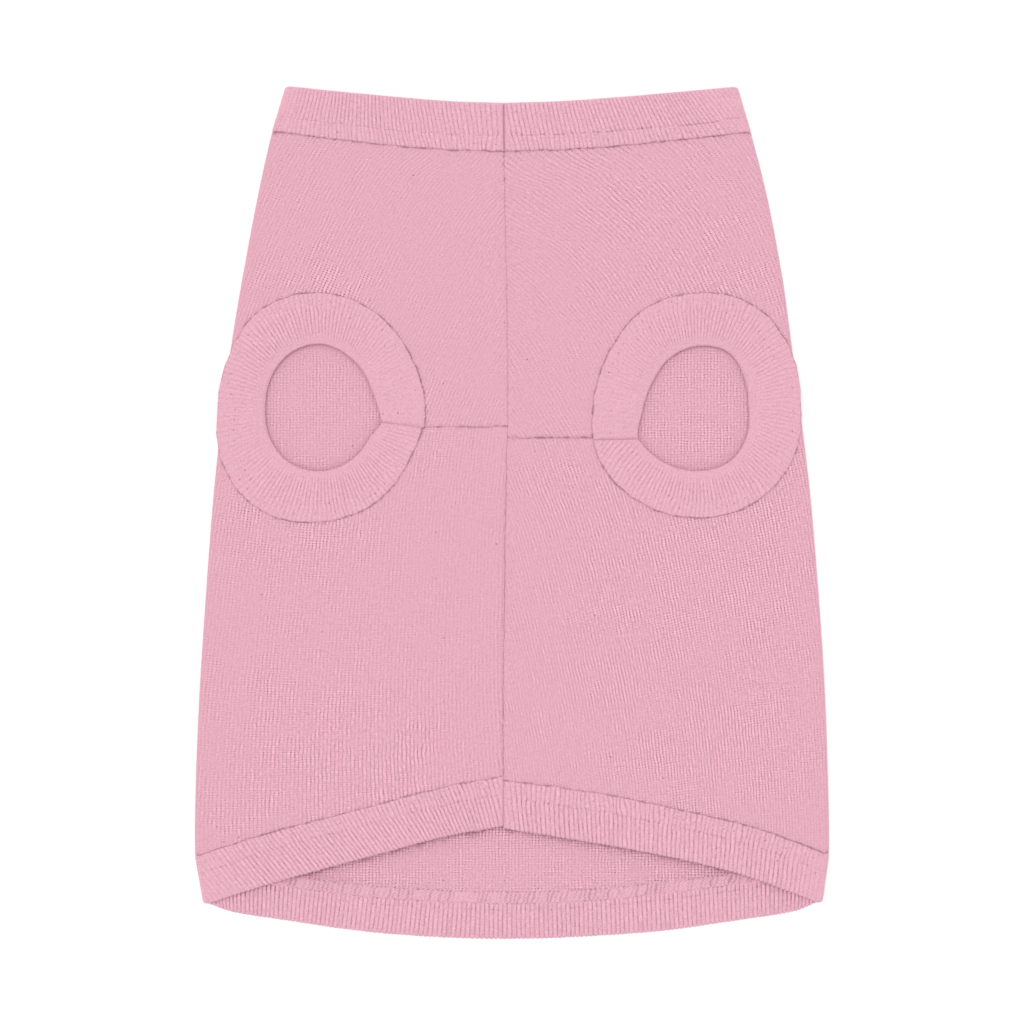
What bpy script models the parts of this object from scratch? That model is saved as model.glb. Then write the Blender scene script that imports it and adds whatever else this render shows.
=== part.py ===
"""Pet tank top of fine cotton knit with rib bands, laid flat with its belly side up.

One piece of knit is wrapped from the belly seam round the back to the belly seam again. A doubled
rib band finishes the neck, the hem and each leg hole. The front panel lies on the back panel.

Metres, +Z up. +X runs across the garment, +Y points to the neck, and the origin is on the surface
that the garment lies on, under its middle. The tables and sizes below are in millimetres.
"""

import math
from collections import namedtuple

import bmesh
import bpy

MM = 0.001

# Cloth
CLOTH = 1.2  # wall of the body's knit
BAND = 1.6  # wall of a doubled rib band, measured between its ribs
RIB_HEIGHT = 0.5
RIB_PITCH = 1.8
LEG_RIBS = 108  # round each leg band
RIBS_PER_BAY = 2  # ribs that share one stretch of plain underside
SEAM_GAP = 0.3  # between two pieces where they are sewn
COLOUR = (0.79, 0.42, 0.51, 1.0)
BAND_COLOUR = (0.80, 0.44, 0.53, 1.0)

# How the layers lie, from the surface up. The back lies on the surface, and all of the front has
# its underside at one height, held up by the back band's ribs and by the seams inside.
BAND_GAP = RIB_HEIGHT + SEAM_GAP  # between the back and the front of a band
FRONT_BASE = BAND + BAND_GAP  # underside of the whole front
LEG_RIB_FADE = 0.3  # height left in a leg band's ribs at its free edge, as a share
LEAN_REACH = 0.2  # share of the half width in which the ribs reach their lean
CUT_BASE = 1.3  # the leg holes and cross seams are cut through the front, down to here
CUT_TOP = 8.0

# Mesh steps
FOLD_STEPS = 6
FRONT_SHARES = (0.0, 0.1, 0.25, 0.4, 0.52, 0.62, 0.72, 0.8, 0.88, 0.94, 1.0)
BACK_STEPS = 14
ROW_SHARES = (0.0, 0.03, 0.07, 0.12, 0.18, 0.25, 0.33, 0.42, 0.5, 0.58, 0.66, 0.74, 0.81, 0.87,
              0.92, 0.96, 1.0)
PLAIN_BAND_STEPS = 12
LEG_CUT_STEPS = 72

# The outline: half widths to the left and right at each height.
SideRow = namedtuple("SideRow", "y left right")
SIDES = (
    SideRow(-157.0, 123.4, 124.0),
    SideRow(-147.0, 125.6, 125.6),
    SideRow(-137.0, 126.8, 126.8),
    SideRow(-110.0, 126.6, 126.5),
    SideRow(-75.0, 125.2, 125.2),
    SideRow(-43.0, 123.2, 123.2),
    SideRow(5.0, 119.6, 119.2),
    SideRow(37.0, 116.2, 115.6),
    SideRow(69.0, 112.0, 111.6),
    SideRow(93.0, 108.0, 108.0),
    SideRow(125.0, 102.0, 102.0),
    SideRow(152.0, 96.0, 95.2),
    SideRow(170.6, 90.4, 90.0),
)

# The belly seam wanders a little from side to side.
SeamRow = namedtuple("SeamRow", "y x")
BELLY_SEAM = (
    SeamRow(-128.0, -3.4),
    SeamRow(-60.0, -3.3),
    SeamRow(-29.0, -2.8),
    SeamRow(19.0, -2.2),
    SeamRow(40.0, -1.6),
    SeamRow(83.0, -2.0),
    SeamRow(123.0, -2.8),
    SeamRow(164.0, -3.3),
)

# Each band's seam and free edge as heights. On the belly side they run from the belly seam
# (share 0) to a side fold (1), and the two halves differ a little.
FrontRow = namedtuple("FrontRow", "share seam_left edge_left seam_right edge_right")
FRONT_NECK = (
    FrontRow(0.00, 144.1, 164.0, 144.1, 164.0),
    FrontRow(0.25, 144.9, 164.7, 144.9, 164.7),
    FrontRow(0.50, 146.6, 166.4, 146.6, 166.3),
    FrontRow(0.75, 149.1, 168.4, 149.0, 168.2),
    FrontRow(1.00, 151.9, 170.6, 151.6, 170.4),
)
FRONT_HEM = (
    FrontRow(0.0, -105.6, -126.0, -107.2, -127.0),
    FrontRow(0.2, -110.0, -130.2, -110.5, -131.0),
    FrontRow(0.4, -116.4, -136.6, -114.8, -135.3),
    FrontRow(0.6, -122.8, -143.1, -120.4, -140.5),
    FrontRow(0.8, -129.2, -149.7, -126.8, -147.3),
    FrontRow(1.0, -137.2, -156.9, -136.4, -156.4),
)

# On the back they run from the left fold (share -1) to the right fold (1).
BackRow = namedtuple("BackRow", "share seam edge")
BACK_NECK = (
    BackRow(-1.0, 151.9, 170.6),
    BackRow(-0.5, 146.6, 166.1),
    BackRow(0.0, 144.1, 163.6),
    BackRow(0.5, 146.6, 166.0),
    BackRow(1.0, 151.6, 170.4),
)
BACK_HEM = (
    BackRow(-1.00, -137.2, -156.9),
    BackRow(-0.75, -144.4, -162.7),
    BackRow(-0.50, -148.9, -167.2),
    BackRow(-0.25, -151.1, -169.7),
    BackRow(0.00, -152.0, -170.6),
    BackRow(0.25, -150.9, -169.5),
    BackRow(0.50, -147.8, -167.0),
    BackRow(0.75, -143.6, -162.4),
    BackRow(1.00, -136.4, -156.4),
)

# The ribs lean: from the seam to the free edge each shifts outwards by a share of the half width.
Mouth = namedtuple("Mouth", "front back lean_left lean_right")
NECK = Mouth(FRONT_NECK, BACK_NECK, 0.053, -0.053)
HEM = Mouth(FRONT_HEM, BACK_HEM, -0.080, 0.010)

# Leg bands: distances from the hole's centre to the seam and to the free edge, at each turn in
# degrees, from one side of the band's join round to the other.
LegRow = namedtuple("LegRow", "turn seam edge")
LegBand = namedtuple("LegBand", "name x y rows skew cross_seam_y")
JOIN_SKEW_REACH = 60.0  # degrees in which the ribs turn from radial to the join's direction
LEG_BANDS = (
    LegBand("left_leg_rib", -76.0, 41.6, (
        LegRow(-10.9, 41.8, 24.2),
        LegRow(0.0, 41.2, 22.4),
        LegRow(15.0, 41.0, 21.2),
        LegRow(30.0, 41.0, 21.2),
        LegRow(60.0, 43.4, 22.8),
        LegRow(90.0, 46.0, 25.2),
        LegRow(120.0, 46.2, 25.0),
        LegRow(150.0, 42.8, 23.7),
        LegRow(180.0, 41.8, 23.2),
        LegRow(210.0, 45.7, 24.2),
        LegRow(240.0, 47.7, 25.2),
        LegRow(270.0, 45.6, 24.8),
        LegRow(300.0, 43.4, 23.5),
        LegRow(330.0, 40.7, 21.3),
        LegRow(349.1, 41.0, 24.2),
    ), -2.5, 34.0),
    LegBand("right_leg_rib", 74.0, 42.4, (
        LegRow(198.1, 43.8, 26.7),
        LegRow(210.0, 44.8, 26.3),
        LegRow(240.0, 44.8, 25.8),
        LegRow(270.0, 44.8, 25.6),
        LegRow(300.0, 44.8, 25.4),
        LegRow(330.0, 43.8, 23.1),
        LegRow(360.0, 41.6, 21.2),
        LegRow(390.0, 43.4, 22.2),
        LegRow(420.0, 46.0, 24.6),
        LegRow(450.0, 45.2, 23.6),
        LegRow(480.0, 43.9, 21.7),
        LegRow(510.0, 41.2, 19.9),
        LegRow(540.0, 41.6, 21.6),
        LegRow(558.1, 43.8, 26.7),
    ), 11.5, 29.6),
)
JOIN_TURN = 0.36  # degrees that each end of a leg band stays back from its join


def blend(low, high, share):
    """The value that lies at share between low and high."""
    return low + (high - low) * share


def ease(share):
    """0 to 1, starting and ending gently, and clamped outside."""
    share = min(max(share, 0.0), 1.0)
    return share * share * (3.0 - 2.0 * share)


def slope(rows, index, key, value):
    """Slope of a table's smooth curve at one of its rows."""
    before = rows[max(index - 1, 0)]
    after = rows[min(index + 1, len(rows) - 1)]
    return (getattr(after, value) - getattr(before, value)) / (getattr(after, key) - getattr(before, key))


def read(rows, key, at, value):
    """A table's column at a place between its rows, on a smooth curve through them."""
    first = 0
    while first < len(rows) - 2 and getattr(rows[first + 1], key) < at:
        first += 1
    low, high = rows[first], rows[first + 1]
    span = getattr(high, key) - getattr(low, key)
    s = min(max((at - getattr(low, key)) / span, 0.0), 1.0)
    start, end = getattr(low, value), getattr(high, value)
    rise_in = slope(rows, first, key, value) * span
    rise_out = slope(rows, first + 1, key, value) * span
    return ((2 * s**3 - 3 * s**2 + 1) * start + (s**3 - 2 * s**2 + s) * rise_in
            + (3 * s**2 - 2 * s**3) * end + (s**3 - s**2) * rise_out)


class Walk:
    """A stop on the way round the garment: front right, right fold, back, left fold, front left.

    share runs along the panel: outwards on the front, down the fold (or up it, on the left), and
    from +1 at the right fold to -1 at the left fold on the back.
    """

    def __init__(self, panel, side, share):
        self.panel = panel
        self.side = side
        self.share = share

    def across(self):
        """Share of the half width, 0 in the middle and 1 at the side fold."""
        return 1.0 if self.panel == "fold" else abs(self.share)


def fold_stops(side):
    """The stops inside a side fold; its two ends belong to the panels beside it."""
    shares = [step / FOLD_STEPS for step in range(1, FOLD_STEPS)]
    if side == "left":
        shares.reverse()
    return [Walk("fold", side, share) for share in shares]


def back_stop(share):
    return Walk("back", "right" if share >= 0.0 else "left", share)


def height(mouth, stop, line):
    """Height of a mouth's "seam" or free "edge" at a stop."""
    if stop.panel == "back":
        return read(mouth.back, "share", stop.share, line)
    return read(mouth.front, "share", stop.across(), line + "_" + stop.side)


def side_height(mouth, stop, line):
    """The same at the side fold that the stop belongs to."""
    return getattr(mouth.front[-1], line + "_" + stop.side)


def belly_seam_x(y):
    return read(BELLY_SEAM, "y", min(max(y, BELLY_SEAM[0].y), BELLY_SEAM[-1].y), "x")


def wall_points(stop, y, side_y, wall):
    """Outer and inner point of a flattened tube's wall at one stop, y along the garment.

    side_y is the height of the same row at the side fold, which sets its width.
    """
    half_width = read(SIDES, "y", side_y, stop.side)
    sign = 1.0 if stop.side == "right" else -1.0
    fold_radius = (FRONT_BASE + wall) / 2
    fold_x = half_width - fold_radius
    if stop.panel == "fold":
        angle = math.pi * (0.5 - stop.share)
        outer = (sign * (fold_x + fold_radius * math.cos(angle)), y,
                 fold_radius + fold_radius * math.sin(angle))
        inner_radius = fold_radius - wall
        inner = (sign * (fold_x + inner_radius * math.cos(angle)), y,
                 fold_radius + inner_radius * math.sin(angle))
        return outer, inner
    if stop.panel == "back":
        x = stop.share * fold_x
        return (x, y, 0.0), (x, y, wall)
    start = belly_seam_x(y) + sign * SEAM_GAP / 2
    x = blend(start, sign * fold_x, stop.share)
    return (x, y, FRONT_BASE + wall), (x, y, FRONT_BASE)


class Builder:
    """Collects faces by their corner points, in millimetres, into one closed mesh."""

    def __init__(self):
        self.mesh = bmesh.new()
        self.corners = {}

    def corner(self, point):
        key = tuple(round(value, 5) for value in point)
        if key not in self.corners:
            self.corners[key] = self.mesh.verts.new([value * MM for value in point])
        return self.corners[key]

    def face(self, points):
        self.mesh.faces.new([self.corner(point) for point in points])

    def finish(self, name, colour):
        bmesh.ops.recalc_face_normals(self.mesh, faces=self.mesh.faces)
        mesh = bpy.data.meshes.new(name)
        self.mesh.to_mesh(mesh)
        self.mesh.free()
        piece = bpy.data.objects.new(name, mesh)
        bpy.context.collection.objects.link(piece)
        if colour:
            mesh.materials.append(knit_material(name, colour))
        return piece


def knit_material(name, colour):
    """Matt cotton knit."""
    material = bpy.data.materials.new(name + "_knit")
    material.use_nodes = True
    shader = material.node_tree.nodes["Principled BSDF"]
    shader.inputs["Base Color"].default_value = colour
    shader.inputs["Roughness"].default_value = 0.9
    shader.inputs["Metallic"].default_value = 0.0
    return material


def body_stops():
    """The stops round the body, from the belly seam round the back to the belly seam."""
    stops = [Walk("front", "right", share) for share in FRONT_SHARES]
    stops += fold_stops("right")
    stops += [back_stop(1.0 - 2.0 * step / BACK_STEPS) for step in range(BACK_STEPS + 1)]
    stops += fold_stops("left")
    stops += [Walk("front", "left", share) for share in reversed(FRONT_SHARES)]
    return stops


def body_wall(stop, row):
    """Outer and inner point of the body at a stop and a share of its length."""
    hem_y = height(HEM, stop, "seam") + SEAM_GAP / 2
    neck_y = height(NECK, stop, "seam") - SEAM_GAP / 2
    y = blend(hem_y, neck_y, row)
    side_hem_y = side_height(HEM, stop, "seam") + SEAM_GAP / 2
    side_neck_y = side_height(NECK, stop, "seam") - SEAM_GAP / 2
    side_y = blend(side_hem_y, side_neck_y, row)
    return wall_points(stop, y, side_y, CLOTH)


def make_body():
    """The wrapped body, with its two leg holes and its two cross seams cut through the front."""
    builder = Builder()
    columns = [[body_wall(stop, row) for row in ROW_SHARES] for stop in body_stops()]
    for one, two in zip(columns, columns[1:]):
        for low in range(len(ROW_SHARES) - 1):
            corners = (one[low], two[low], two[low + 1], one[low + 1])
            builder.face([outer for outer, inner in corners])
            builder.face([inner for outer, inner in corners])
        for end in (0, -1):
            builder.face([one[end][0], two[end][0], two[end][1], one[end][1]])
    for column in (columns[0], columns[-1]):
        for low in range(len(ROW_SHARES) - 1):
            builder.face([column[low][0], column[low + 1][0], column[low + 1][1], column[low][1]])
    body = builder.finish("body", COLOUR)
    for leg in LEG_BANDS:
        cut(body, leg_hole_cutter(leg))
        cut(body, cross_seam_cutter(leg))
    return body


def prism(name, outline):
    """A cutter: an outline in plan, from CUT_BASE up to CUT_TOP."""
    builder = Builder()
    low = [(x, y, CUT_BASE) for x, y in outline]
    high = [(x, y, CUT_TOP) for x, y in outline]
    builder.face(low)
    builder.face(high)
    for i in range(len(outline)):
        j = (i + 1) % len(outline)
        builder.face([low[i], low[j], high[j], high[i]])
    cutter = builder.finish(name, None)
    cutter.hide_render = True
    cutter.display_type = "WIRE"
    return cutter


def leg_hole_cutter(leg):
    """The leg hole in the front panel, half a seam gap outside the band's seam line."""
    first, last = leg.rows[0].turn, leg.rows[-1].turn
    outline = []
    for step in range(LEG_CUT_STEPS):
        turn = blend(first, last, step / LEG_CUT_STEPS)
        outline.append(leg_point(leg, turn, read(leg.rows, "turn", turn, "seam") + SEAM_GAP / 2))
    return prism(leg.name + "_cutter", outline)


def cross_seam_cutter(leg):
    """The slit from the belly seam to the leg hole, where the leg notch is sewn shut."""
    low, high = leg.cross_seam_y - SEAM_GAP / 2, leg.cross_seam_y + SEAM_GAP / 2
    middle = belly_seam_x(leg.cross_seam_y)
    far = leg.x - math.copysign(leg.rows[0].seam - BAND, leg.x)
    return prism(leg.name + "_seam_cutter", [(middle, low), (far, low), (far, high), (middle, high)])


def cut(piece, cutter):
    boolean = piece.modifiers.new(cutter.name, "BOOLEAN")
    boolean.operation = "DIFFERENCE"
    boolean.solver = "EXACT"
    boolean.object = cutter


def leg_point(leg, turn, radius):
    angle = math.radians(turn)
    return leg.x + radius * math.cos(angle), leg.y + radius * math.sin(angle)


def raise_by(points, height):
    return [(x, y, z + height) for x, y, z in points]


def add_bay(builder, ribbed, plain):
    """One stretch of a band: its ribbed face, its plain face and the two long edges.

    ribbed and plain are lists of stations, each a (seam point, edge point) pair, that start and
    end at the same two places on the two faces.
    """
    for face in (ribbed, plain):
        for one, two in zip(face, face[1:]):
            builder.face([one[0], two[0], two[1], one[1]])
    for rail in (0, 1):
        outline = [station[rail] for station in ribbed]
        outline += [station[rail] for station in reversed(plain)]
        builder.face(outline)


def add_ribs(builder, wall, start, end, ribs, ribbed_face, edge_height=RIB_HEIGHT):
    """Bays with raised ribs from start to end.

    wall(place) gives the outer and inner station there, and ribbed_face is 0 where the ribs stand
    on the outer face, or 1 on the inner.
    """
    bays = max(1, round(ribs / RIBS_PER_BAY))
    for bay in range(bays):
        ribbed = []
        for half in range(2 * RIBS_PER_BAY + 1):
            share = (bay + half / (2 * RIBS_PER_BAY)) / bays
            seam, edge = wall(blend(start, end, share))[ribbed_face]
            if half % 2:
                seam, = raise_by([seam], RIB_HEIGHT)
                edge, = raise_by([edge], edge_height)
            ribbed.append((seam, edge))
        ends = [wall(blend(start, end, (bay + step) / bays)) for step in (0, 1)]
        add_bay(builder, ribbed, [stations[1 - ribbed_face] for stations in ends])


def add_plain(builder, walls):
    """Bays without ribs between neighbouring (outer, inner) stations."""
    for one, two in zip(walls, walls[1:]):
        add_bay(builder, [one[0], two[0]], [one[1], two[1]])


def add_end(builder, stations):
    """The closed end of a band, at its join."""
    (outer_seam, outer_edge), (inner_seam, inner_edge) = stations
    builder.face([outer_seam, outer_edge, inner_edge, inner_seam])


def leaned(stop, mouth):
    """The stop at the free edge that a rib reaches from this stop at the seam."""
    if stop.panel != "front":
        return stop
    lean = getattr(mouth, "lean_" + stop.side)
    lean *= ease(stop.share / LEAN_REACH) * ease((1.0 - stop.share) / LEAN_REACH)
    return Walk("front", stop.side, stop.share + lean)


def band_wall(stop, mouth):
    """Outer and inner station of a neck or hem band at a stop."""
    edge_stop = leaned(stop, mouth)
    seam_y, edge_y = height(mouth, stop, "seam"), height(mouth, edge_stop, "edge")
    side_seam_y, side_edge_y = side_height(mouth, stop, "seam"), side_height(mouth, stop, "edge")
    inset = math.copysign(SEAM_GAP / 2, edge_y - seam_y)
    seam = wall_points(stop, seam_y + inset, side_seam_y + inset, BAND)
    edge = wall_points(edge_stop, edge_y, side_edge_y, BAND)
    return (seam[0], edge[0]), (seam[1], edge[1])


def make_band(name, mouth, ribs_inside_back):
    """A doubled rib band round the neck or the hem, joined on the belly seam.

    The ribs stand on the front's upper face, and on the back's upper face too where that shows
    inside the mouth.
    """
    builder = Builder()
    ribs = round(read(SIDES, "y", mouth.front[-1].seam_left, "left") / RIB_PITCH)

    def front_right(share):
        return band_wall(Walk("front", "right", share), mouth)

    def front_left(share):
        return band_wall(Walk("front", "left", share), mouth)

    def back(share):
        return band_wall(back_stop(share), mouth)

    def fold(side):
        return [band_wall(stop, mouth) for stop in fold_stops(side)]

    add_end(builder, front_right(0.0))
    add_ribs(builder, front_right, 0.0, 1.0, ribs, 0)
    add_plain(builder, [front_right(1.0)] + fold("right") + [back(1.0)])
    if ribs_inside_back:
        add_ribs(builder, back, 1.0, -1.0, 2 * ribs, 1)
    else:
        add_plain(builder, [back(1.0 - 2.0 * step / PLAIN_BAND_STEPS)
                            for step in range(PLAIN_BAND_STEPS + 1)])
    add_plain(builder, [back(-1.0)] + fold("left") + [front_left(1.0)])
    add_ribs(builder, front_left, 1.0, 0.0, ribs, 0)
    add_end(builder, front_left(0.0))
    return builder.finish(name, BAND_COLOUR)


def leg_wall(leg, turn):
    """Outer and inner station of a leg band: its upper face, then its underside."""
    from_join = min(turn - leg.rows[0].turn, leg.rows[-1].turn - turn)
    skew = leg.skew * max(0.0, 1.0 - from_join / JOIN_SKEW_REACH) ** 2
    seam_x, seam_y = leg_point(leg, turn, read(leg.rows, "turn", turn, "seam") - SEAM_GAP / 2)
    edge_x, edge_y = leg_point(leg, turn + skew, read(leg.rows, "turn", turn, "edge"))
    high, low = FRONT_BASE + BAND, FRONT_BASE
    return (((seam_x, seam_y, high), (edge_x, edge_y, high)),
            ((seam_x, seam_y, low), (edge_x, edge_y, low)))


def make_leg_band(leg):
    """A doubled rib band sewn into a leg hole, its ribs fading towards the free edge."""
    builder = Builder()
    start, end = leg.rows[0].turn + JOIN_TURN, leg.rows[-1].turn - JOIN_TURN
    add_end(builder, leg_wall(leg, start))
    add_ribs(builder, lambda turn: leg_wall(leg, turn), start, end, LEG_RIBS, 0,
             RIB_HEIGHT * LEG_RIB_FADE)
    add_end(builder, leg_wall(leg, end))
    return builder.finish(leg.name, BAND_COLOUR)


def clear_scene():
    for thing in list(bpy.data.objects):
        bpy.data.objects.remove(thing, do_unlink=True)


def main():
    clear_scene()
    make_body()
    make_band("neck_rib", NECK, False)
    make_band("hem_rib", HEM, True)
    for leg in LEG_BANDS:
        make_leg_band(leg)


main()
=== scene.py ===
"""Looks of a pet tank top: fine cotton knit with doubled rib bands, laid flat, belly side up.

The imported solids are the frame. Every cloth piece here replaces its solid with a finer shell of the
same form: the body is one wrapped sheet, and each band is a folded strip with real ribs. The knit
runs as it does on the real garment, because every shell carries the flat pattern as its UV map.

The tables and sizes are in millimetres, in the frame of the solids: +X runs across the garment, +Y
points to the neck, +Z is up, and the back lies on z = 0.
"""

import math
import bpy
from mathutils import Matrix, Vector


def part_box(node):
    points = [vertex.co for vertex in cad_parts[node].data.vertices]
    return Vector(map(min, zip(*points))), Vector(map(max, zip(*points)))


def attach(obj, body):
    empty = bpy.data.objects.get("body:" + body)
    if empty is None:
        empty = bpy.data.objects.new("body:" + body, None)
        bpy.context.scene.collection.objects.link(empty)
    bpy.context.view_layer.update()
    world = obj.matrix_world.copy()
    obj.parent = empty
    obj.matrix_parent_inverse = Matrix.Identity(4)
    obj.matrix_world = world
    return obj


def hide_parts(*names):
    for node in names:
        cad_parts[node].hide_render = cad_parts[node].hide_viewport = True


bl_info = {
    "name": "Pet Tank Top",
    "version": (1, 0, 0),
    "blender": (4, 5, 0),
    "location": "View3D > Sidebar > Tank Top",
    "description": "Models the knitted body, the rib bands and the sewing of a pet tank top",
    "category": "Object",
}

from collections import namedtuple
from types import SimpleNamespace

import bpy
import numpy as np
from bpy.props import FloatProperty, FloatVectorProperty, PointerProperty
from mathutils import Vector
from mathutils.geometry import delaunay_2d_cdt

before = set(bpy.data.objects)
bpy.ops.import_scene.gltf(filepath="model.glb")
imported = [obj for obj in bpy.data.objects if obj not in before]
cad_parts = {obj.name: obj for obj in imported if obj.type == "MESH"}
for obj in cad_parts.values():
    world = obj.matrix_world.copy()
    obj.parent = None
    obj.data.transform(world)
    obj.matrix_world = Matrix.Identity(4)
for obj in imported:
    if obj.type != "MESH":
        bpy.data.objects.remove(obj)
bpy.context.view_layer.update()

MM = 0.001
BODY = "root"

# Sizes of the solids, which the shells keep
CLOTH = 1.2  # wall of the body's knit
BAND = 1.6  # wall of a doubled band, between its ribs
FRONT_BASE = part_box("left_leg_rib")[0].z / MM  # underside of the whole front
BAND_WIDTH = 19.8  # from a band's seam to its free edge
SEAM_GAP = 0.02  # the finer shells meet closer at their seams than the solids do
RIB_PITCH = 1.8
LEG_RIBS = 136
LEG_CROWD = 0.1  # how much closer the ribs of a leg band lie at the top and bottom of its hole
SEAM_WOBBLE = 0.22  # how far a sewn line strays from its table
JOIN_REACH = 0.06  # share of a half width in which a band's columns turn to its join
JOIN_SKEW_REACH = 60.0  # degrees in which a leg band's ribs turn to its join


def table(columns, *rows):
    """Rows of values under named columns."""
    kind = namedtuple("Row", columns)
    return tuple(kind(*row) for row in rows)


# The outline: half widths to the left and right at each height.
SIDES = table(
    "y left right",
    (-157.0, 123.4, 124.0),
    (-147.0, 125.6, 125.6),
    (-137.0, 126.8, 126.8),
    (-110.0, 126.6, 126.5),
    (-75.0, 125.2, 125.3),
    (-43.0, 123.2, 123.4),
    (5.0, 119.6, 119.5),
    (37.0, 116.2, 115.8),
    (69.0, 112.0, 111.6),
    (93.0, 108.0, 108.3),
    (125.0, 102.0, 102.3),
    (152.0, 96.0, 95.5),
    (170.6, 90.4, 90.0),
)

# The belly seam wanders a little from side to side.
BELLY_SEAM = table(
    "y x",
    (-128.0, -3.4),
    (-60.0, -3.3),
    (-29.0, -2.8),
    (19.0, -2.2),
    (40.0, -1.6),
    (83.0, -2.0),
    (123.0, -2.8),
    (164.0, -3.3),
)

# Each band's seam and free edge as heights, from the belly seam (share 0) to a side fold (1).
FRONT_NECK = table(
    "share seam_left edge_left seam_right edge_right",
    (0.00, 144.1, 164.0, 144.1, 164.0),
    (0.25, 144.9, 164.7, 144.9, 164.7),
    (0.50, 146.6, 166.4, 146.6, 166.3),
    (0.75, 149.1, 168.4, 149.0, 168.2),
    (1.00, 151.9, 170.6, 151.6, 170.4),
)
FRONT_HEM = table(
    "share seam_left edge_left seam_right edge_right",
    (0.0, -105.6, -125.8, -107.2, -126.8),
    (0.2, -110.0, -129.9, -110.5, -130.6),
    (0.4, -116.4, -136.2, -114.8, -134.9),
    (0.6, -122.8, -142.5, -120.4, -139.9),
    (0.8, -129.2, -149.1, -126.8, -146.7),
    (1.0, -137.2, -156.9, -136.4, -156.4),
)

# On the back, from the left fold (share -1) to the right fold (1).
BACK_NECK = table(
    "share seam edge",
    (-1.0, 151.9, 170.6),
    (-0.5, 146.6, 166.1),
    (0.0, 144.1, 163.6),
    (0.5, 146.6, 166.0),
    (1.0, 151.6, 170.4),
)
BACK_HEM = table(
    "share seam edge",
    (-1.00, -137.2, -156.9),
    (-0.93, -139.4, -160.1),
    (-0.75, -144.4, -163.6),
    (-0.50, -148.9, -168.0),
    (-0.25, -151.1, -170.4),
    (0.00, -152.0, -171.1),
    (0.25, -150.9, -170.1),
    (0.50, -147.8, -167.8),
    (0.75, -143.6, -163.5),
    (0.93, -138.6, -159.9),
    (1.00, -136.4, -156.4),
)

# How far the ribs lean on their way from the seam to the free edge, in degrees, outwards positive.
LEANS = table(
    "share hem_left hem_right neck_left neck_right",
    (0.00, -13.0, 9.0, 2.0, -10.0),
    (0.12, -20.0, 4.0, 8.0, -9.0),
    (0.25, -26.0, 6.0, 15.0, -9.0),
    (0.40, -30.0, 3.0, 17.0, -13.0),
    (0.60, -32.0, 2.0, 12.0, -16.0),
    (0.80, -30.0, 0.0, 4.0, -24.0),
    (1.00, -27.0, -2.0, -2.0, -20.0),
)

# The same on the back of the hem, from the left fold to the right one, positive to the right.
BACK_LEANS = table(
    "share hem",
    (-1.0, -5.0),
    (-0.6, -12.0),
    (-0.3, -9.0),
    (0.0, 0.0),
    (0.3, 4.0),
    (0.6, 8.0),
    (1.0, 4.0),
)

# Leg bands: distances from the hole's centre to the seam and to the free edge, at each turn in
# degrees, from one side of the band's join round to the other. show is how far the ribs stand out
# there, peek is how far the band's lower layer lies out past the fold of its upper one, and dip is
# how deep the body rolls down into the seam. Of a band, skew is how many degrees its join turns on the
# way to the free edge, and cut_ribs is how many ribs its first end cuts off at a slant.
LEG_COLUMNS = "turn seam edge show peek dip"
LEG_BANDS = table(
    "name side x y skew cut_ribs cross_seam_y rows",
    ("left_leg_rib", "left", -76.0, 41.6, -2.5, 0.0, 34.0, table(
        LEG_COLUMNS,
        (-10.9, 41.8, 24.2, 0.15, 0.0, 0.16),
        (0.0, 41.2, 22.4, 0.15, 0.2, 0.16),
        (15.0, 41.0, 21.2, 0.18, 0.3, 0.16),
        (30.0, 41.0, 21.2, 0.30, 0.3, 0.14),
        (60.0, 43.4, 22.8, 0.75, 0.1, 0.13),
        (90.0, 46.0, 25.2, 1.00, 0.0, 0.09),
        (120.0, 46.2, 25.0, 1.00, 0.0, 0.07),
        (150.0, 42.8, 23.7, 0.75, 0.5, 0.06),
        (180.0, 41.8, 23.2, 0.40, 1.1, 0.05),
        (210.0, 45.7, 24.2, 0.40, 0.7, 0.06),
        (240.0, 47.7, 25.2, 0.80, 0.2, 0.08),
        (270.0, 45.6, 24.8, 1.00, 0.0, 0.05),
        (300.0, 43.4, 23.5, 0.90, 0.0, 0.09),
        (330.0, 40.7, 22.2, 0.70, 0.0, 0.13),
        (349.1, 41.0, 24.2, 0.45, 0.0, 0.15),
    )),
    ("right_leg_rib", "right", 74.0, 42.4, 11.5, 7.0, 29.6, table(
        LEG_COLUMNS,
        (198.1, 43.8, 26.7, 0.80, 0.0, 0.15),
        (210.0, 44.8, 26.3, 0.90, 0.0, 0.20),
        (240.0, 44.8, 25.8, 0.95, 0.0, 0.20),
        (270.0, 44.8, 25.6, 1.00, 0.0, 0.18),
        (300.0, 44.8, 25.4, 0.85, 0.0, 0.15),
        (330.0, 43.8, 23.1, 0.65, 0.5, 0.12),
        (360.0, 41.6, 21.2, 0.40, 1.1, 0.07),
        (390.0, 43.4, 22.2, 0.60, 0.8, 0.09),
        (420.0, 46.0, 24.6, 0.85, 0.2, 0.10),
        (450.0, 45.2, 23.6, 0.95, 0.0, 0.15),
        (480.0, 43.9, 21.7, 0.75, 0.0, 0.14),
        (510.0, 41.2, 19.9, 0.40, 0.0, 0.12),
        (540.0, 41.6, 21.6, 0.18, 0.0, 0.10),
        (558.1, 43.8, 26.7, 0.15, 0.0, 0.14),
    )),
)
JOIN_TURN = 0.03  # degrees that each end of a leg band stays back from its join

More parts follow.
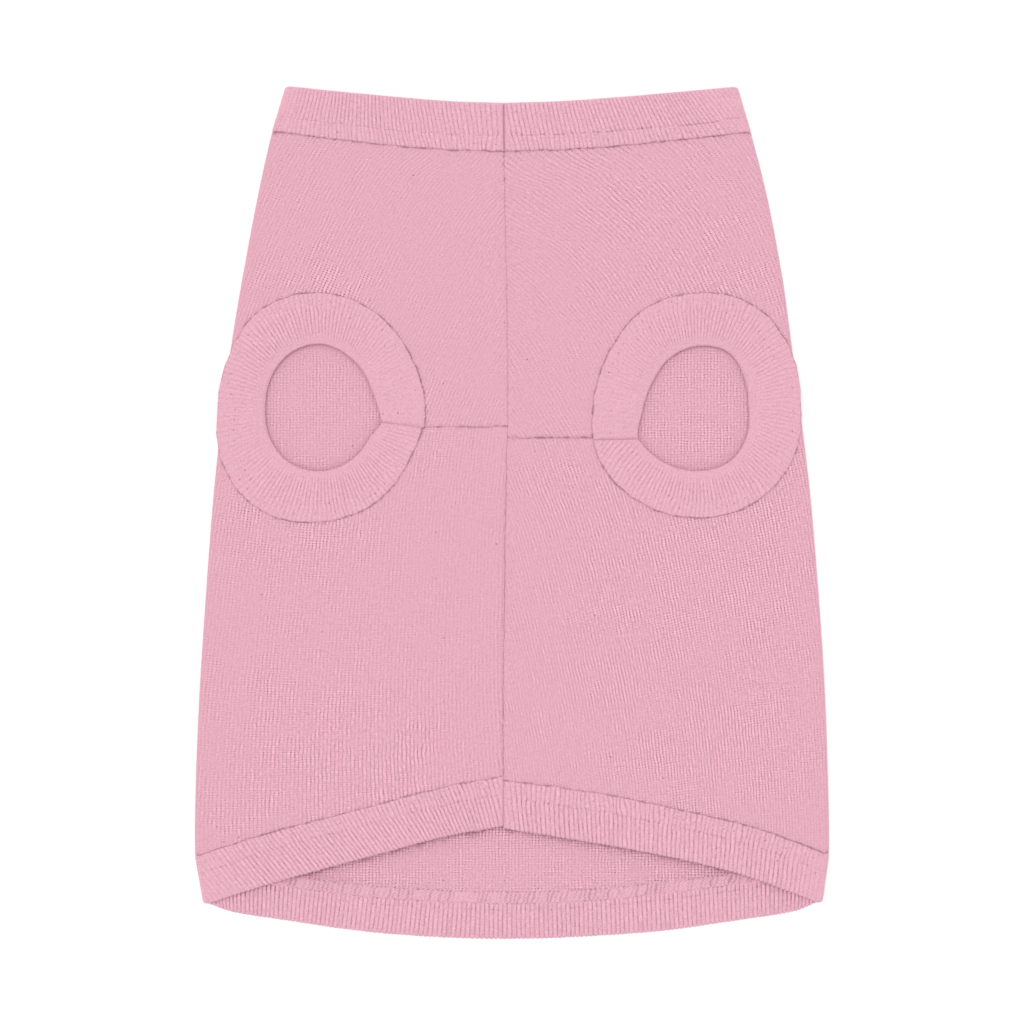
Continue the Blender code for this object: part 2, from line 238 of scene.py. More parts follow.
# How the cloth lies: rows of low ridges (height above 0) and troughs (below 0) on the front.
CREASES = table(
    "x y length width turn height",
    (-8.0, 112.0, 60.0, 9.0, 88.0, 0.30),
    (6.0, 92.0, 80.0, 10.0, 92.0, 0.32),
    (-17.0, -58.0, 16.0, 10.0, 75.0, 0.35),
    (-42.0, -38.0, 52.0, 14.0, 40.0, 0.18),
    (-60.0, 92.0, 60.0, 13.0, 160.0, -0.18),
    (48.0, 84.0, 34.0, 9.0, 52.0, -0.26),
    (30.0, -62.0, 60.0, 12.0, 105.0, -0.16),
    (84.0, -100.0, 30.0, 11.0, 20.0, -0.26),
    (70.0, -20.0, 46.0, 10.0, 172.0, -0.20),
    (-96.0, -70.0, 90.0, 12.0, 84.0, -0.12),
    (90.0, 112.0, 44.0, 10.0, 110.0, -0.15),
    (-84.0, 128.0, 34.0, 8.0, 20.0, -0.22),
    (100.0, -60.0, 60.0, 12.0, 100.0, 0.16),
    (36.0, -30.0, 40.0, 11.0, 60.0, 0.14),
)

# Where the knit's stitch columns (wales) and rows (courses) stand out, as soft round patches.
KNIT_SHOW = table(
    "x y reach wales courses",
    (88.0, -4.0, 36.0, 0.66, 0.25),
    (56.0, -22.0, 32.0, 0.32, 0.14),
    (92.0, -94.0, 26.0, 0.66, 0.14),
    (52.0, -70.0, 38.0, 0.42, 0.08),
    (66.0, -108.0, 24.0, 0.34, 0.05),
    (104.0, -48.0, 26.0, 0.22, 0.08),
    (20.0, 12.0, 14.0, 0.40, 0.30),
    (-76.0, 84.0, 18.0, 0.60, 0.05),
    (84.0, 82.0, 24.0, 0.40, 0.14),
    (-78.0, -2.0, 22.0, 0.38, 0.12),
    (-46.0, -108.0, 32.0, 0.45, 0.02),
    (-92.0, -112.0, 26.0, 0.30, 0.12),
    (-84.0, -66.0, 34.0, 0.22, 0.16),
    (44.0, 132.0, 34.0, 0.20, 0.06),
    (-70.0, 134.0, 40.0, 0.09, 0.05),
    (90.0, 120.0, 24.0, 0.06, 0.05),
    (-92.0, 20.0, 34.0, 0.26, 0.26),
    (56.0, 100.0, 30.0, 0.16, 0.10),
    (92.0, 40.0, 24.0, 0.26, 0.22),
    (-40.0, 36.0, 20.0, 0.20, 0.20),
)

LEAST_SHOW = 0.15  # how far they stand out everywhere

SIGN = {"left": -1.0, "right": 1.0}


class Curve:
    """A smooth curve through two columns of a table."""

    def __init__(self, rows, key, value):
        self.keys = np.array([getattr(row, key) for row in rows])
        self.values = np.array([getattr(row, value) for row in rows])
        places = np.arange(len(rows))
        before, after = np.maximum(places - 1, 0), np.minimum(places + 1, places[-1])
        self.slopes = (self.values[after] - self.values[before]) / (self.keys[after] - self.keys[before])

    def __call__(self, at):
        at = np.clip(at, self.keys[0], self.keys[-1])
        low = np.clip(np.searchsorted(self.keys, at, side="right") - 1, 0, len(self.keys) - 2)
        high = low + 1
        span = self.keys[high] - self.keys[low]
        s = (at - self.keys[low]) / span
        return ((2 * s**3 - 3 * s**2 + 1) * self.values[low]
                + (s**3 - 2 * s**2 + s) * span * self.slopes[low]
                + (3 * s**2 - 2 * s**3) * self.values[high]
                + (s**3 - s**2) * span * self.slopes[high])


class SewnCurve(Curve):
    """A seam's line, which wobbles a little as it was sewn, but not at the ends of its table."""

    def __init__(self, rows, key, value, step, seed):
        super().__init__(rows, key, value)
        self.step = step
        self.seed = seed

    def __call__(self, at):
        inside = np.minimum(at - self.keys[0], self.keys[-1] - at) / self.step
        return super().__call__(at) + SEAM_WOBBLE * ease(inside / 2.0) * wander(at, self.seed, self.step)


def ease(share):
    """0 to 1, starting and ending gently, and clamped outside."""
    share = np.clip(share, 0.0, 1.0)
    return share * share * (3.0 - 2.0 * share)


def fall(distance, width):
    """1 at a seam to 0 a width away from it, steepest at the seam."""
    return (1.0 - np.clip(distance / width, 0.0, 1.0)) ** 1.5


def knit_show(x, y, kind):
    """How far the stitch columns or rows stand out at a place on the front."""
    show = np.full(np.shape(x), LEAST_SHOW)
    for row in KNIT_SHOW:
        distance = np.hypot(x - row.x, y - row.y) / row.reach
        show = show + getattr(row, kind) * np.exp(-distance**2)
    return np.minimum(show, 1.0)


def wander(places, seed, step=1.0):
    """Smooth noise from -1 to 1 along one direction, a new random value every step."""
    values = np.random.default_rng(seed).uniform(-1.0, 1.0, 4096)
    at = np.asarray(places) / step + 2048.0
    low = np.floor(at).astype(int)
    s = ease(at - low)
    return values[low % 4096] * (1.0 - s) + values[(low + 1) % 4096] * s


def wander_2d(x, y, seed, step):
    """Smooth noise from -1 to 1 over a plane."""
    values = np.random.default_rng(seed).uniform(-1.0, 1.0, (256, 256))
    at_x, at_y = x / step + 128.0, y / step + 128.0
    i, j = np.floor(at_x).astype(int), np.floor(at_y).astype(int)
    s, t = ease(at_x - i), ease(at_y - j)
    low = values[i % 256, j % 256] * (1 - s) + values[(i + 1) % 256, j % 256] * s
    high = values[i % 256, (j + 1) % 256] * (1 - s) + values[(i + 1) % 256, (j + 1) % 256] * s
    return low * (1 - t) + high * t


HALF_WIDTH = {side: Curve(SIDES, "y", side) for side in SIGN}
BELLY = SewnCurve(BELLY_SEAM, "y", "x", 3.5, 11)


class Mouth:
    """A mouth of the garment, with its band's seam and free edge all round."""

    def __init__(self, name, front, back):
        self.front = {("seam", side): SewnCurve(front, "share", "seam_" + side, 0.028, 12) for side in SIGN}
        self.front |= {("edge", side): Curve(front, "share", "edge_" + side) for side in SIGN}
        self.back = {line: Curve(back, "share", line) for line in ("seam", "edge")}
        self.leans = {side: Curve(LEANS, "share", name + "_" + side) for side in SIGN}
        self.half_width = float(HALF_WIDTH["left"](self.side_height("seam", "left")))
        rise = self.side_height("edge", "left") - self.side_height("seam", "left")
        # The band's seam lies this far up from the seam's middle, and the body's as far down.
        self.gap = math.copysign(SEAM_GAP / 2, rise)

    def side_height(self, line, side):
        return float(self.front[line, side](1.0))

    def lean_share(self, degrees):
        """A lean in degrees as the share of the half width that it shifts a rib."""
        return np.tan(np.radians(degrees)) * BAND_WIDTH / self.half_width

    def lean_of(self, side, share):
        """How far a rib that starts at share has shifted outwards at the free edge."""
        return self.lean_share(self.leans[side](share))


NECK = Mouth("neck", FRONT_NECK, BACK_NECK)
HEM = Mouth("hem", FRONT_HEM, BACK_HEM)


def stack(*parts):
    return np.stack(np.broadcast_arrays(*parts), axis=-1).astype(float)


def fold_centre(side, side_y, wall):
    """Distance of a side fold's axis from the middle, and its outer radius."""
    radius = (FRONT_BASE + wall) / 2
    return HALF_WIDTH[side](side_y) - radius, radius


def front_wall(side, share, y, side_y, wall):
    """Outer and inner points of the front at shares of its half width."""
    fold_x, _ = fold_centre(side, side_y, wall)
    start = BELLY(y) + SIGN[side] * SEAM_GAP / 2
    x = start + (SIGN[side] * fold_x - start) * share
    return stack(x, y, FRONT_BASE + wall), stack(x, y, FRONT_BASE)


def fold_wall(side, share, y, side_y, wall):
    """The same round a side fold, from the front (share 0) down to the back (1)."""
    fold_x, radius = fold_centre(side, side_y, wall)
    angle = math.pi * (0.5 - share)
    reach, rise = np.cos(angle), np.sin(angle)
    outer = stack(SIGN[side] * (fold_x + radius * reach), y, radius + radius * rise)
    inner_radius = radius - wall
    inner = stack(SIGN[side] * (fold_x + inner_radius * reach), y, radius + inner_radius * rise)
    return outer, inner


def back_wall(share, y, side_y, wall):
    """The same on the back, from the left fold (share -1) to the right fold (1)."""
    left, _ = fold_centre("left", side_y, wall)
    right, _ = fold_centre("right", side_y, wall)
    x = share * np.where(share < 0.0, left, right)
    return stack(x, y, 0.0), stack(x, y, wall)


# ---- Meshes ----

OUTWARD = (0, 1, 2, 3)  # orders of the corners of a tube's quads
INWARD = (3, 2, 1, 0)


def make_mesh(name, points, faces, uv, materials, attributes, face_materials=None):
    """A smooth mesh object from points in millimetres, with a UV for each point."""
    mesh = bpy.data.meshes.new(name)
    mesh.from_pydata((np.asarray(points) * MM).tolist(), [], faces)
    corners = np.zeros(len(mesh.loops), dtype=np.int32)
    mesh.loops.foreach_get("vertex_index", corners)
    layer = mesh.uv_layers.new(name="pattern")
    layer.data.foreach_set("uv", np.asarray(uv, dtype=np.float32)[corners].ravel())
    for key, values in attributes.items():
        attribute = mesh.attributes.new(key, "FLOAT", "POINT")
        attribute.data.foreach_set("value", np.asarray(values, dtype=np.float32))
    for material in materials:
        mesh.materials.append(material)
    if face_materials is not None:
        mesh.polygons.foreach_set("material_index", np.asarray(face_materials, dtype=np.int32))
    mesh.shade_smooth()
    mesh.update()
    piece = bpy.data.objects.new(name, mesh)
    bpy.context.collection.objects.link(piece)
    return piece


def tube_faces(count, around, order):
    """Faces round a closed tube and over its ends; order is that of the corners of each quad."""
    rings = np.arange(count * around).reshape(count, around)
    after = np.roll(rings, -1, axis=1)
    quads = np.stack([rings[:-1], rings[1:], after[1:], after[:-1]], axis=-1).reshape(-1, 4)
    turn = 1 if order == OUTWARD else -1
    return quads[:, order].tolist() + [rings[0, ::turn].tolist(), rings[-1, ::-turn].tolist()]


def rows_of(parts):
    """The points along each line of a tube as one array, ring after ring."""
    parts = np.stack(parts, axis=1)
    return parts.reshape(-1, *parts.shape[2:])


FOLD_TURNS = (20.0, 42.0, 64.0, 86.0, 108.0, 130.0, 155.0)
AFTER_NEEDLE = 1.2  # how far past the needle's stitches a band's even stations start


def band_section(needle):
    """A band's cross-section, with its stations closer together at the needle's stitches.

    It runs from the seam over the ribbed outer face, round the free edge, along the inner face and up
    the seam again. place is in millimetres from the seam, share adds that share of the rest of the
    width, and level runs from 1 on the outer face to -1 on the inner one. out is how far the station
    stands out past the free edge's axis.
    """
    last = needle + AFTER_NEEDLE
    near = (1.2, 1.8, 2.5, 3.3, 4.1, 5.0, needle - 1.0, needle - 0.5, needle, needle + 0.5, last)
    angles = [math.radians(turn) for turn in FOLD_TURNS]
    seam = ((0.0, -0.6), (0.0, 0.35), (0.03, 0.64), (0.25, 0.82), (0.5, 0.93), (0.8, 0.98))
    return table(
        "place share level out",
        *[(place, 0.0, 1.0, 0.0) for place in near],
        *[(last, share / 9.0, 1.0, 0.0) for share in range(1, 10)],
        *[(last, 1.0, math.cos(angle), math.sin(angle)) for angle in angles],
        (last, 1.0, -1.0, 0.0), (needle, 0.4, -1.0, 0.0), (4.0, 0.0, -1.0, 0.0), (0.3, 0.0, -1.0, 0.0),
        *[(place, 0.0, level, 0.0) for place, level in seam])


# What a station along a band has besides its points and the numbers of ribs at its seam and its free
# edge: outer and inner scale the ribs on each face, peek is how far the lower layer lies out past the
# upper one, end is 1 at a join, and lift is how far the free edge rises.
PLAIN_STATION = {"outer": 1.0, "inner": 0.0, "peek": 0.0, "end": 0.0, "lift": 0.0}


def stations(seam, edge, **values):
    """Stations along a band, whose seam and edge are outer and inner points."""
    count = len(seam[0])
    columns = {key: np.broadcast_to(value, count) for key, value in (PLAIN_STATION | values).items()}
    return columns | {"seam": np.stack(seam, axis=1), "edge": np.stack(edge, axis=1)}


def join(*parts):
    """The stations of several parts of a band as one run."""
    return SimpleNamespace(**{key: np.concatenate([part[key] for part in parts]) for key in parts[0]})


def rib_profile(ribs):
    """Height across the ribs, 0 in a valley and 1 on a ridge; whole numbers are valleys."""
    return (0.5 - 0.5 * np.cos(2.0 * math.pi * ribs)) ** 0.45


def unit(vectors):
    return vectors / np.maximum(np.linalg.norm(vectors, axis=-1, keepdims=True), 1e-9)


# A band's looks. show scales its ribs and waver is how far they bend. needle is the distance from its
# seam to the needle's stitches, and line_left and line_right are how deep they pull in and how dark
# the line of painted shade along them is. groove is the depth of the roll at its join, and edge_roll
# is how far its free edge draws back from the solid's. fold_ribs scales the ribs round that edge, and
# edge_loss is how much of them fades over fade_width, from edge_fade before the solid's edge on.
# seam_show is how much shows at the seam.
BAND_LOOKS = {look.name: look for look in table(
    "name seed show waver needle line_left line_right groove edge_roll fold_ribs edge_loss edge_fade "
    "fade_width seam_show",
    ("neck", 31, 0.86, 0.09, 6.3, 0.6, 1.6, 0.85, 0.50, 0.20, 0.15, 3.0, 3.0, 1.0),
    ("hem", 41, 1.00, 0.09, 7.0, 0.6, 0.8, 0.60, 0.50, 1.15, 0.15, 3.0, 3.0, 1.0),
    ("leg", 51, 0.84, 0.06, 6.8, 0.0, 0.0, 0.60, 0.35, 0.40, 0.85, 6.0, 4.0, 0.68),
)}
LEG_DROOP = 0.7  # how far the free edge of a leg band sinks
HEM_LIFT = 0.8  # how far that of the front's hem rises between its middle and its sides
LIFT_REACH = 8.0  # distance from the free edge in which the band bends
CRUSHED_RISE = 0.08  # how far a band rises between its seam and the needle's stitches
CRUSHED_LOSS = 0.45  # share of the ribs' height that is lost there
NEEDLE_DENT = 0.12  # how deep those stitches pull into it
RIB_UNEVEN = 0.28  # share by which the ribs differ in height
SHADED_SHOW = 1.2  # how much more the ribs show on the inside that the front's hem shades


def make_band(name, columns, material, look, sizes):
    """A folded rib strip as one closed shell, round the stations of its columns."""
    section = band_section(look.needle)
    way = columns.edge.mean(axis=1) - columns.seam.mean(axis=1)
    length = np.linalg.norm(way, axis=1)
    across = unit(way)
    fold_axis = length - BAND / 2 - look.edge_roll
    strength = look.show * columns.show
    line = np.where(columns.seam[:, 0, 0] < 0.0, look.line_left, look.line_right)
    points, uvs, shows, needles = [], [], [], []
    for row in section:
        place = row.place + row.share * (fold_axis - row.place)
        share = place / length
        wall = columns.seam + (columns.edge - columns.seam) * share[:, None, None]
        half = (wall[:, 0] - wall[:, 1]) / 2
        up = unit(half)
        facing = unit(row.level * up + row.out * across) if row.share == 1.0 else up * np.sign(row.level)
        point = wall.mean(axis=1) + row.level * half + row.out * BAND / 2 * across
        # Between the seam and the needle's stitches the ribs lie crushed and askew.
        crushed = ease((look.needle + 0.4 - place) / 0.9) * (row.level > -0.5)
        ribs = columns.ribs + (columns.ribs_edge - columns.ribs) * share
        bend = wander_2d(ribs * RIB_PITCH, place, look.seed + 3, 3.6) * ease(place / 2.0)
        ribs = ribs + look.waver * bend
        ribs = ribs + crushed * (0.30 * wander(ribs * 0.55 + 0.12 * place, look.seed + 4)
                                 + 0.10 * (look.needle - place) * wander(ribs * 0.08, look.seed + 5))
        show = strength * band_fade(place, length, look)
        hidden = 0.5 + 0.5 * wander(ribs * 0.9 + 0.4 * place, look.seed + 1)
        show = show * (1.0 - CRUSHED_LOSS * crushed * hidden)
        visible = columns.outer * max(row.level, 0.0) + columns.inner * max(-row.level, 0.0)
        fold = look.fold_ribs * row.out * np.maximum(columns.outer * ease((0.6 + row.level) / 0.6),
                                                     columns.inner * ease((0.6 - row.level) / 0.6))
        ribbed = np.maximum(visible * (1.0 - row.out), fold)
        evenness = 1.0 + RIB_UNEVEN * wander(ribs, look.seed)
        rise = sizes.rib_height * rib_profile(ribs) * evenness * show * ribbed
        needled = np.exp(-((place - look.needle) / 0.5) ** 2)
        rise = rise + CRUSHED_RISE * visible * crushed - NEEDLE_DENT * visible * needled * (0.5 + 0.6 * line)
        dip = columns.end * visible
        rise = rise * ease(place / 0.8) * (1.0 - 0.8 * dip) - look.groove * dip
        point = point + facing * rise[:, None]
        point = point + across * (columns.peek * row.out * (0.75 - 0.5 * row.level))[:, None]
        point[:, 2] += columns.lift * ease((place - length + LIFT_REACH) / LIFT_REACH)
        points.append(point)
        uvs.append(stack(ribs, place + BAND / 2 * row.out))
        # Painted shadow of the front's hem: the rib valleys are darker on the inside of the back under it.
        shaded = columns.inner * max(-row.level, 0.0) * under_front(point[:, 0], point[:, 1]) ** 2
        shows.append(show * ribbed * (1.0 - dip) * (1.0 + SHADED_SHOW * shaded))
        needles.append(place - look.needle)
    points = rows_of(points)
    faces = tube_faces(len(line), len(section), OUTWARD)
    if facing_down(points, faces[0]):
        faces = tube_faces(len(line), len(section), INWARD)
    attributes = {"show": rows_of(shows), "needle": rows_of(needles), "line": np.repeat(line, len(section))}
    return make_mesh(name, points, faces, rows_of(uvs), [material], attributes)


def facing_down(points, face):
    """Whether the first face, which lies on top, is inside out."""
    a, b, c = (points[index] for index in face[:3])
    return np.cross(b - a, c - a)[2] < 0.0


def band_fade(place, length, look):
    """How the ribs fade between a band's seam and its free edge."""
    near_edge = 1.0 - look.edge_loss * ease((place - length + look.edge_fade) / look.fade_width)
    return near_edge * (look.seam_show + (1.0 - look.seam_show) * ease((place - 1.5) / 4.0))


def hem_share(x):
    """Share of the half width at the hem."""
    return np.abs(x) / (HALF_WIDTH["left"](-140.0) - 2.0)


def under_front(x, y):
    """How far the painted shadow of the front's hem reaches: 1 where it lies over the inside of the back, to
    0 a little farther down.
    """
    share = hem_share(x)
    edge = np.where(x < 0.0, HEM.front["edge", "left"](share), HEM.front["edge", "right"](share))
    return np.exp(-(np.maximum(edge - y, 0.0) / 3.0) ** 2)


def end_shares(count, length, sizes):
    """Shares along a half band, with extra ones where its end rolls down at the belly seam."""
    rolled = np.array([0.0, 0.06, 0.2, 0.45]) * sizes.seam_roll / length
    even = np.linspace(0.0, 1.0, count + 1)
    return np.concatenate([rolled, even[even > sizes.seam_roll * 0.7 / length]])


def join_stretch(share):
    """Shares at which the ribs are counted: they lie wider apart next to a join."""
    return share - 0.012 * (1.0 - np.exp(-np.maximum(share, 0.0) / 0.05))


STEPS_PER_RIB = 8
PLAIN_STEPS_PER_RIB = 4
SIDE_SMOOTH = 0.12  # share of a half width in which the ribs fade towards a side fold
FOLD_SHOW = 0.38
FOLD_RIBS = 3
JOIN_SHOW = 0.45  # how far the ribs stand out next to the belly seam


def mouth_columns(mouth, sizes):
    """The stations of a neck or hem band, from the belly seam round the back to the belly seam."""
    ribs = round(mouth.half_width / RIB_PITCH)
    inside_shows = mouth is HEM
    heights = {(line, side): mouth.side_height(line, side) + (mouth.gap if line == "seam" else 0.0)
               for line, side in mouth.front}

    def front(side, start, reverse):
        shares = end_shares(ribs * STEPS_PER_RIB, mouth.half_width, sizes)
        if reverse:
            shares = shares[::-1]
        leaned = shares + (mouth.lean_of(side, shares)
                           * ease(shares / JOIN_REACH) * ease((1.0 - shares) / JOIN_REACH / 2.0))
        counted = join_stretch(leaned - mouth.lean_of(side, leaned))
        seam_y = mouth.front["seam", side](shares) + mouth.gap
        seam = front_wall(side, shares, seam_y, heights["seam", side], BAND)
        edge = front_wall(side, leaned, mouth.front["edge", side](leaned), heights["edge", side], BAND)
        from_join = shares * mouth.half_width
        show = 1.0 - (1.0 - FOLD_SHOW) * ease((shares - 1.0 + SIDE_SMOOTH) / SIDE_SMOOTH)
        show = show * (JOIN_SHOW + (1.0 - JOIN_SHOW) * ease((from_join - 1.0) / 3.0))
        at_seam, at_edge = (start + ribs * (1.0 - share if reverse else share)
                            for share in (join_stretch(shares), counted))
        lift = HEM_LIFT * ease(shares / 0.5) * ease((1.0 - shares) / 0.2) * inside_shows
        return stations(seam, edge, ribs=at_seam, ribs_edge=at_edge, show=show,
                        end=fall(from_join, sizes.seam_roll), lift=lift)

    def fold(side, start, reverse):
        shares = np.linspace(0.0, 1.0, FOLD_RIBS * STEPS_PER_RIB + 1)[1:-1]
        counted = start + FOLD_RIBS * shares
        if reverse:
            shares = shares[::-1]
        seam, edge = (fold_wall(side, shares, heights[line, side], heights[line, side], BAND)
                      for line in ("seam", "edge"))
        return stations(seam, edge, ribs=counted, ribs_edge=counted, show=FOLD_SHOW,
                        outer=1.0 - ease(2.0 * shares - 0.6))

    def back(start):
        steps = STEPS_PER_RIB if inside_shows else PLAIN_STEPS_PER_RIB
        shares = np.linspace(1.0, -1.0, 2 * ribs * steps + 1)
        lean = mouth.lean_share(Curve(BACK_LEANS, "share", "hem")(shares)) * inside_shows
        leaned = shares + lean * ease((1.0 - np.abs(shares)) / JOIN_REACH / 2.0)
        seam_side_y, edge_side_y = (np.where(shares < 0.0, heights[line, "left"], heights[line, "right"])
                                    for line in ("seam", "edge"))
        seam = back_wall(shares, mouth.back["seam"](shares) + mouth.gap, seam_side_y, BAND)
        edge = back_wall(leaned, mouth.back["edge"](leaned), edge_side_y, BAND)
        counted = start + ribs * (1.0 - shares)
        return stations(seam, edge, ribs=counted, ribs_edge=counted, show=1.0, outer=0.0,
                        inner=inside_shows)

    return join(front("right", 0.0, False), fold("right", ribs, False), back(ribs + FOLD_RIBS),
                fold("left", 3 * ribs + FOLD_RIBS, True), front("left", 3 * ribs + 2 * FOLD_RIBS, True))


def leg_point(leg, turn, radius):
    angle = np.radians(turn)
    return leg.x + radius * np.cos(angle), leg.y + radius * np.sin(angle)


def leg_columns(leg, sizes):
    """The stations of a leg band, from one side of its join round to the other."""
    first, last = leg.rows[0].turn + JOIN_TURN, leg.rows[-1].turn - JOIN_TURN
    around = math.radians(last - first) * leg.rows[0].edge
    rolled = np.array([0.0, 0.05, 0.16, 0.33, 0.6]) * sizes.seam_roll / around
    even = np.linspace(0.0, 1.0, LEG_RIBS * STEPS_PER_RIB + 1)
    even = even[(even > sizes.seam_roll * 0.8 / around) & (even < 1.0 - sizes.seam_roll * 0.8 / around)]
    shares = np.concatenate([rolled, even, 1.0 - rolled[::-1]])
    turns = first + (last - first) * shares
    near_first, near_last = (np.maximum(0.0, 1.0 - distance / JOIN_SKEW_REACH) ** 2
                             for distance in (turns - leg.rows[0].turn, leg.rows[-1].turn - turns))
    edge, show, peek = (Curve(leg.rows, "turn", key)(turns) for key in ("edge", "show", "peek"))
    seam_place = leg_point(leg, turns, hole_radius(leg)(turns) - SEAM_GAP / 2)
    edge_place = leg_point(leg, turns + leg.skew * near_first + leg.skew * near_last, edge)
    seam, edge = ((stack(*place, FRONT_BASE + BAND), stack(*place, FRONT_BASE))
                  for place in (seam_place, edge_place))
    ribs = LEG_RIBS * (shares - LEG_CROWD * np.sin(2.0 * np.radians(turns)) / (4.0 * math.pi))
    end = fall(np.minimum(shares, 1.0 - shares) * around, sizes.seam_roll)
    return join(stations(seam, edge, ribs=ribs, ribs_edge=ribs + leg.cut_ribs * near_first, show=show,
                         peek=peek, end=end, lift=-LEG_DROOP))


# ---- The overlocked seam ----

OVERLOCK_REACH = 0.86  # share of the half width, beyond which the front presses the seam flat
OVERLOCK_HEIGHT = 0.52  # height of the allowance over the band that it lies on
OVERLOCK_EVERY = 1.9  # distance from one loop of thread to the next
OVERLOCK_SLANT = 0.8  # loops that a thread passes on its way down
LOOP_HEIGHT = 0.20
STITCH_DENT = 0.14  # how deep the needle pulls into it
UNDERSIDE_FIRST = (0, 3, 2, 1)  # order of its quads' corners, as its stations start underneath
STITCH_LINES = (0.12, 4.75)  # rows of needle stitches, as places down from the seam

# Section of the overlocked allowance: place in millimetres down from the seam, level in shares of
# its height, and loops, how far the loops of thread show there.
STRIP = table(
    "place level loops",
    (-0.30, -0.5, 0.0),
    (-0.15, 0.80, 0.0),
    (0.05, 0.80, 0.0),
    (0.25, 0.86, 0.1),
    (0.50, 0.98, 0.5),
    (0.85, 1.05, 0.9),
    (1.40, 1.00, 1.0),
    (2.00, 0.94, 1.0),
    (2.60, 0.92, 1.0),
    (3.20, 0.94, 1.0),
    (3.80, 1.00, 1.0),
    (4.25, 1.04, 0.7),
    (4.55, 0.94, 0.3),
    (4.75, 0.70, 0.0),
    (4.95, 0.60, 0.0),
    (5.20, 0.20, 0.0),
    (5.35, -0.5, 0.0),
)


def overlock_point(share, place, rise):
    """A point over the back hem band's upper face, place millimetres down from its seam."""
    left, right = (fold_centre(side, HEM.side_height("seam", side), BAND)[0] for side in SIGN)
    return stack(share * np.where(share < 0.0, left, right), HEM.back["seam"](share) - place, BAND + rise)


def overlock_press(share):
    """1 where the seam stands free, less where the front lies on it."""
    return 0.35 + 0.65 * ease((OVERLOCK_REACH - np.abs(share)) / 0.08)


def make_overlock(name, material):
    """The overlocked allowance on the inside of the back hem, with its slanting loops of thread."""
    half = HEM.half_width
    run = np.arange(-OVERLOCK_REACH * half, OVERLOCK_REACH * half, 0.28)
    share = run / half
    points, patterns, loop_shades = [], [], []
    for row in STRIP:
        loop = (run / OVERLOCK_EVERY + OVERLOCK_SLANT * row.place / STRIP[-1].place
                + 0.30 * wander_2d(run, row.place, 61, 2.3))
        ridge = rib_profile(loop) * (1.0 + 0.25 * wander(loop, 62))
        beat = 2.0 * math.pi * (run + 0.6 * wander(run, 63, 4.0)) / OVERLOCK_EVERY
        stitches = (0.5 + 0.5 * np.cos(beat)) * (0.6 + 0.5 * wander(run, 66, 1.7))
        pull = sum(stitches * math.exp(-((row.place - line) / 0.25) ** 2) for line in STITCH_LINES)
        rise = OVERLOCK_HEIGHT * row.level + LOOP_HEIGHT * row.loops * ridge - STITCH_DENT * pull
        if row.level > 0.0:
            rise = rise * overlock_press(share)
        place = row.place + 0.10 * wander(run, 64, 2.2)
        points.append(overlock_point(share, place, rise))
        patterns.append(stack(run, place))
        # Painted shade between the loops of thread and in the needle's dents, carried in the gap attribute.
        loop_shades.append(row.loops * (1.0 - rib_profile(loop)) * (0.55 + 0.45 * wander(loop, 65)) + 1.5 * pull)
    faces = tube_faces(len(run), len(STRIP), UNDERSIDE_FIRST)
    return make_mesh(name, rows_of(points), faces, rows_of(patterns), [material], {"gap": rows_of(loop_shades)})


# ---- The body ----

GRID = 2.0  # spacing of the front's mesh away from seams
BACK_GRID = 3.0
EDGE_STEPS = (0.14, 0.36, 0.7, 1.2, 2.0)  # distances from a seam to the mesh lines along it
LEAST_STEP = 0.1  # no other mesh point lies closer to a seam
SEAM_ROLL = 1.0  # width in which the knit rolls down into a seam
LEG_STEPS = 200  # mesh points round a leg hole
SIDE_ROWS = 152  # mesh points along a side fold
FOLD_RADIUS = (FRONT_BASE + CLOTH) / 2
QUARTER = math.pi / 2 * FOLD_RADIUS  # length of a quarter of a side fold
GRID_X, GRID_Y = 130.0, 160.0  # reach of the grid, past the outline
HEM_SLOPE, NECK_SLOPE = 0.97, 0.99  # a distance from those seams, as a share of the height over them
# How much deeper and wider the knit rolls into the belly seam below the leg holes than above them.
BELLY_ROLL = {"left": (0.27, 1.4), "right": (0.04, -0.2)}
# Degrees that the knit turns in 100 mm from the side fold, above and below the cross seam, and the
# place that it turns about.
TWIST = {"left": (5.0, -6.0), "right": (-12.0, -4.0)}
PIVOT_X, PIVOT_Y = 115.0, 40.0


def body_gap_curve(side, mouth, count):
    """Points of the body's edge at a mouth, from the belly seam to a side fold."""
    shares = np.linspace(0.0, 1.0, count)
    y = mouth.front["seam", side](shares) - mouth.gap
    outer, _ = front_wall(side, shares, y, mouth.side_height("seam", side) - mouth.gap, CLOTH)
    return outer[:, :2]


def hole_radius(leg):
    return SewnCurve(leg.rows, "turn", "seam", 4.5, 13)


def cross_seam(leg, x):
    return leg.cross_seam_y + SEAM_WOBBLE * wander(x, 14, 3.2)


def wrap_turn(leg, turn):
    """A turn about a leg hole's centre, in the range of its table."""
    first = leg.rows[0].turn
    return np.minimum(first + (turn - first) % 360.0, leg.rows[-1].turn)


def turn_of(leg, x, y):
    return wrap_turn(leg, np.degrees(np.arctan2(y - leg.y, x - leg.x)))


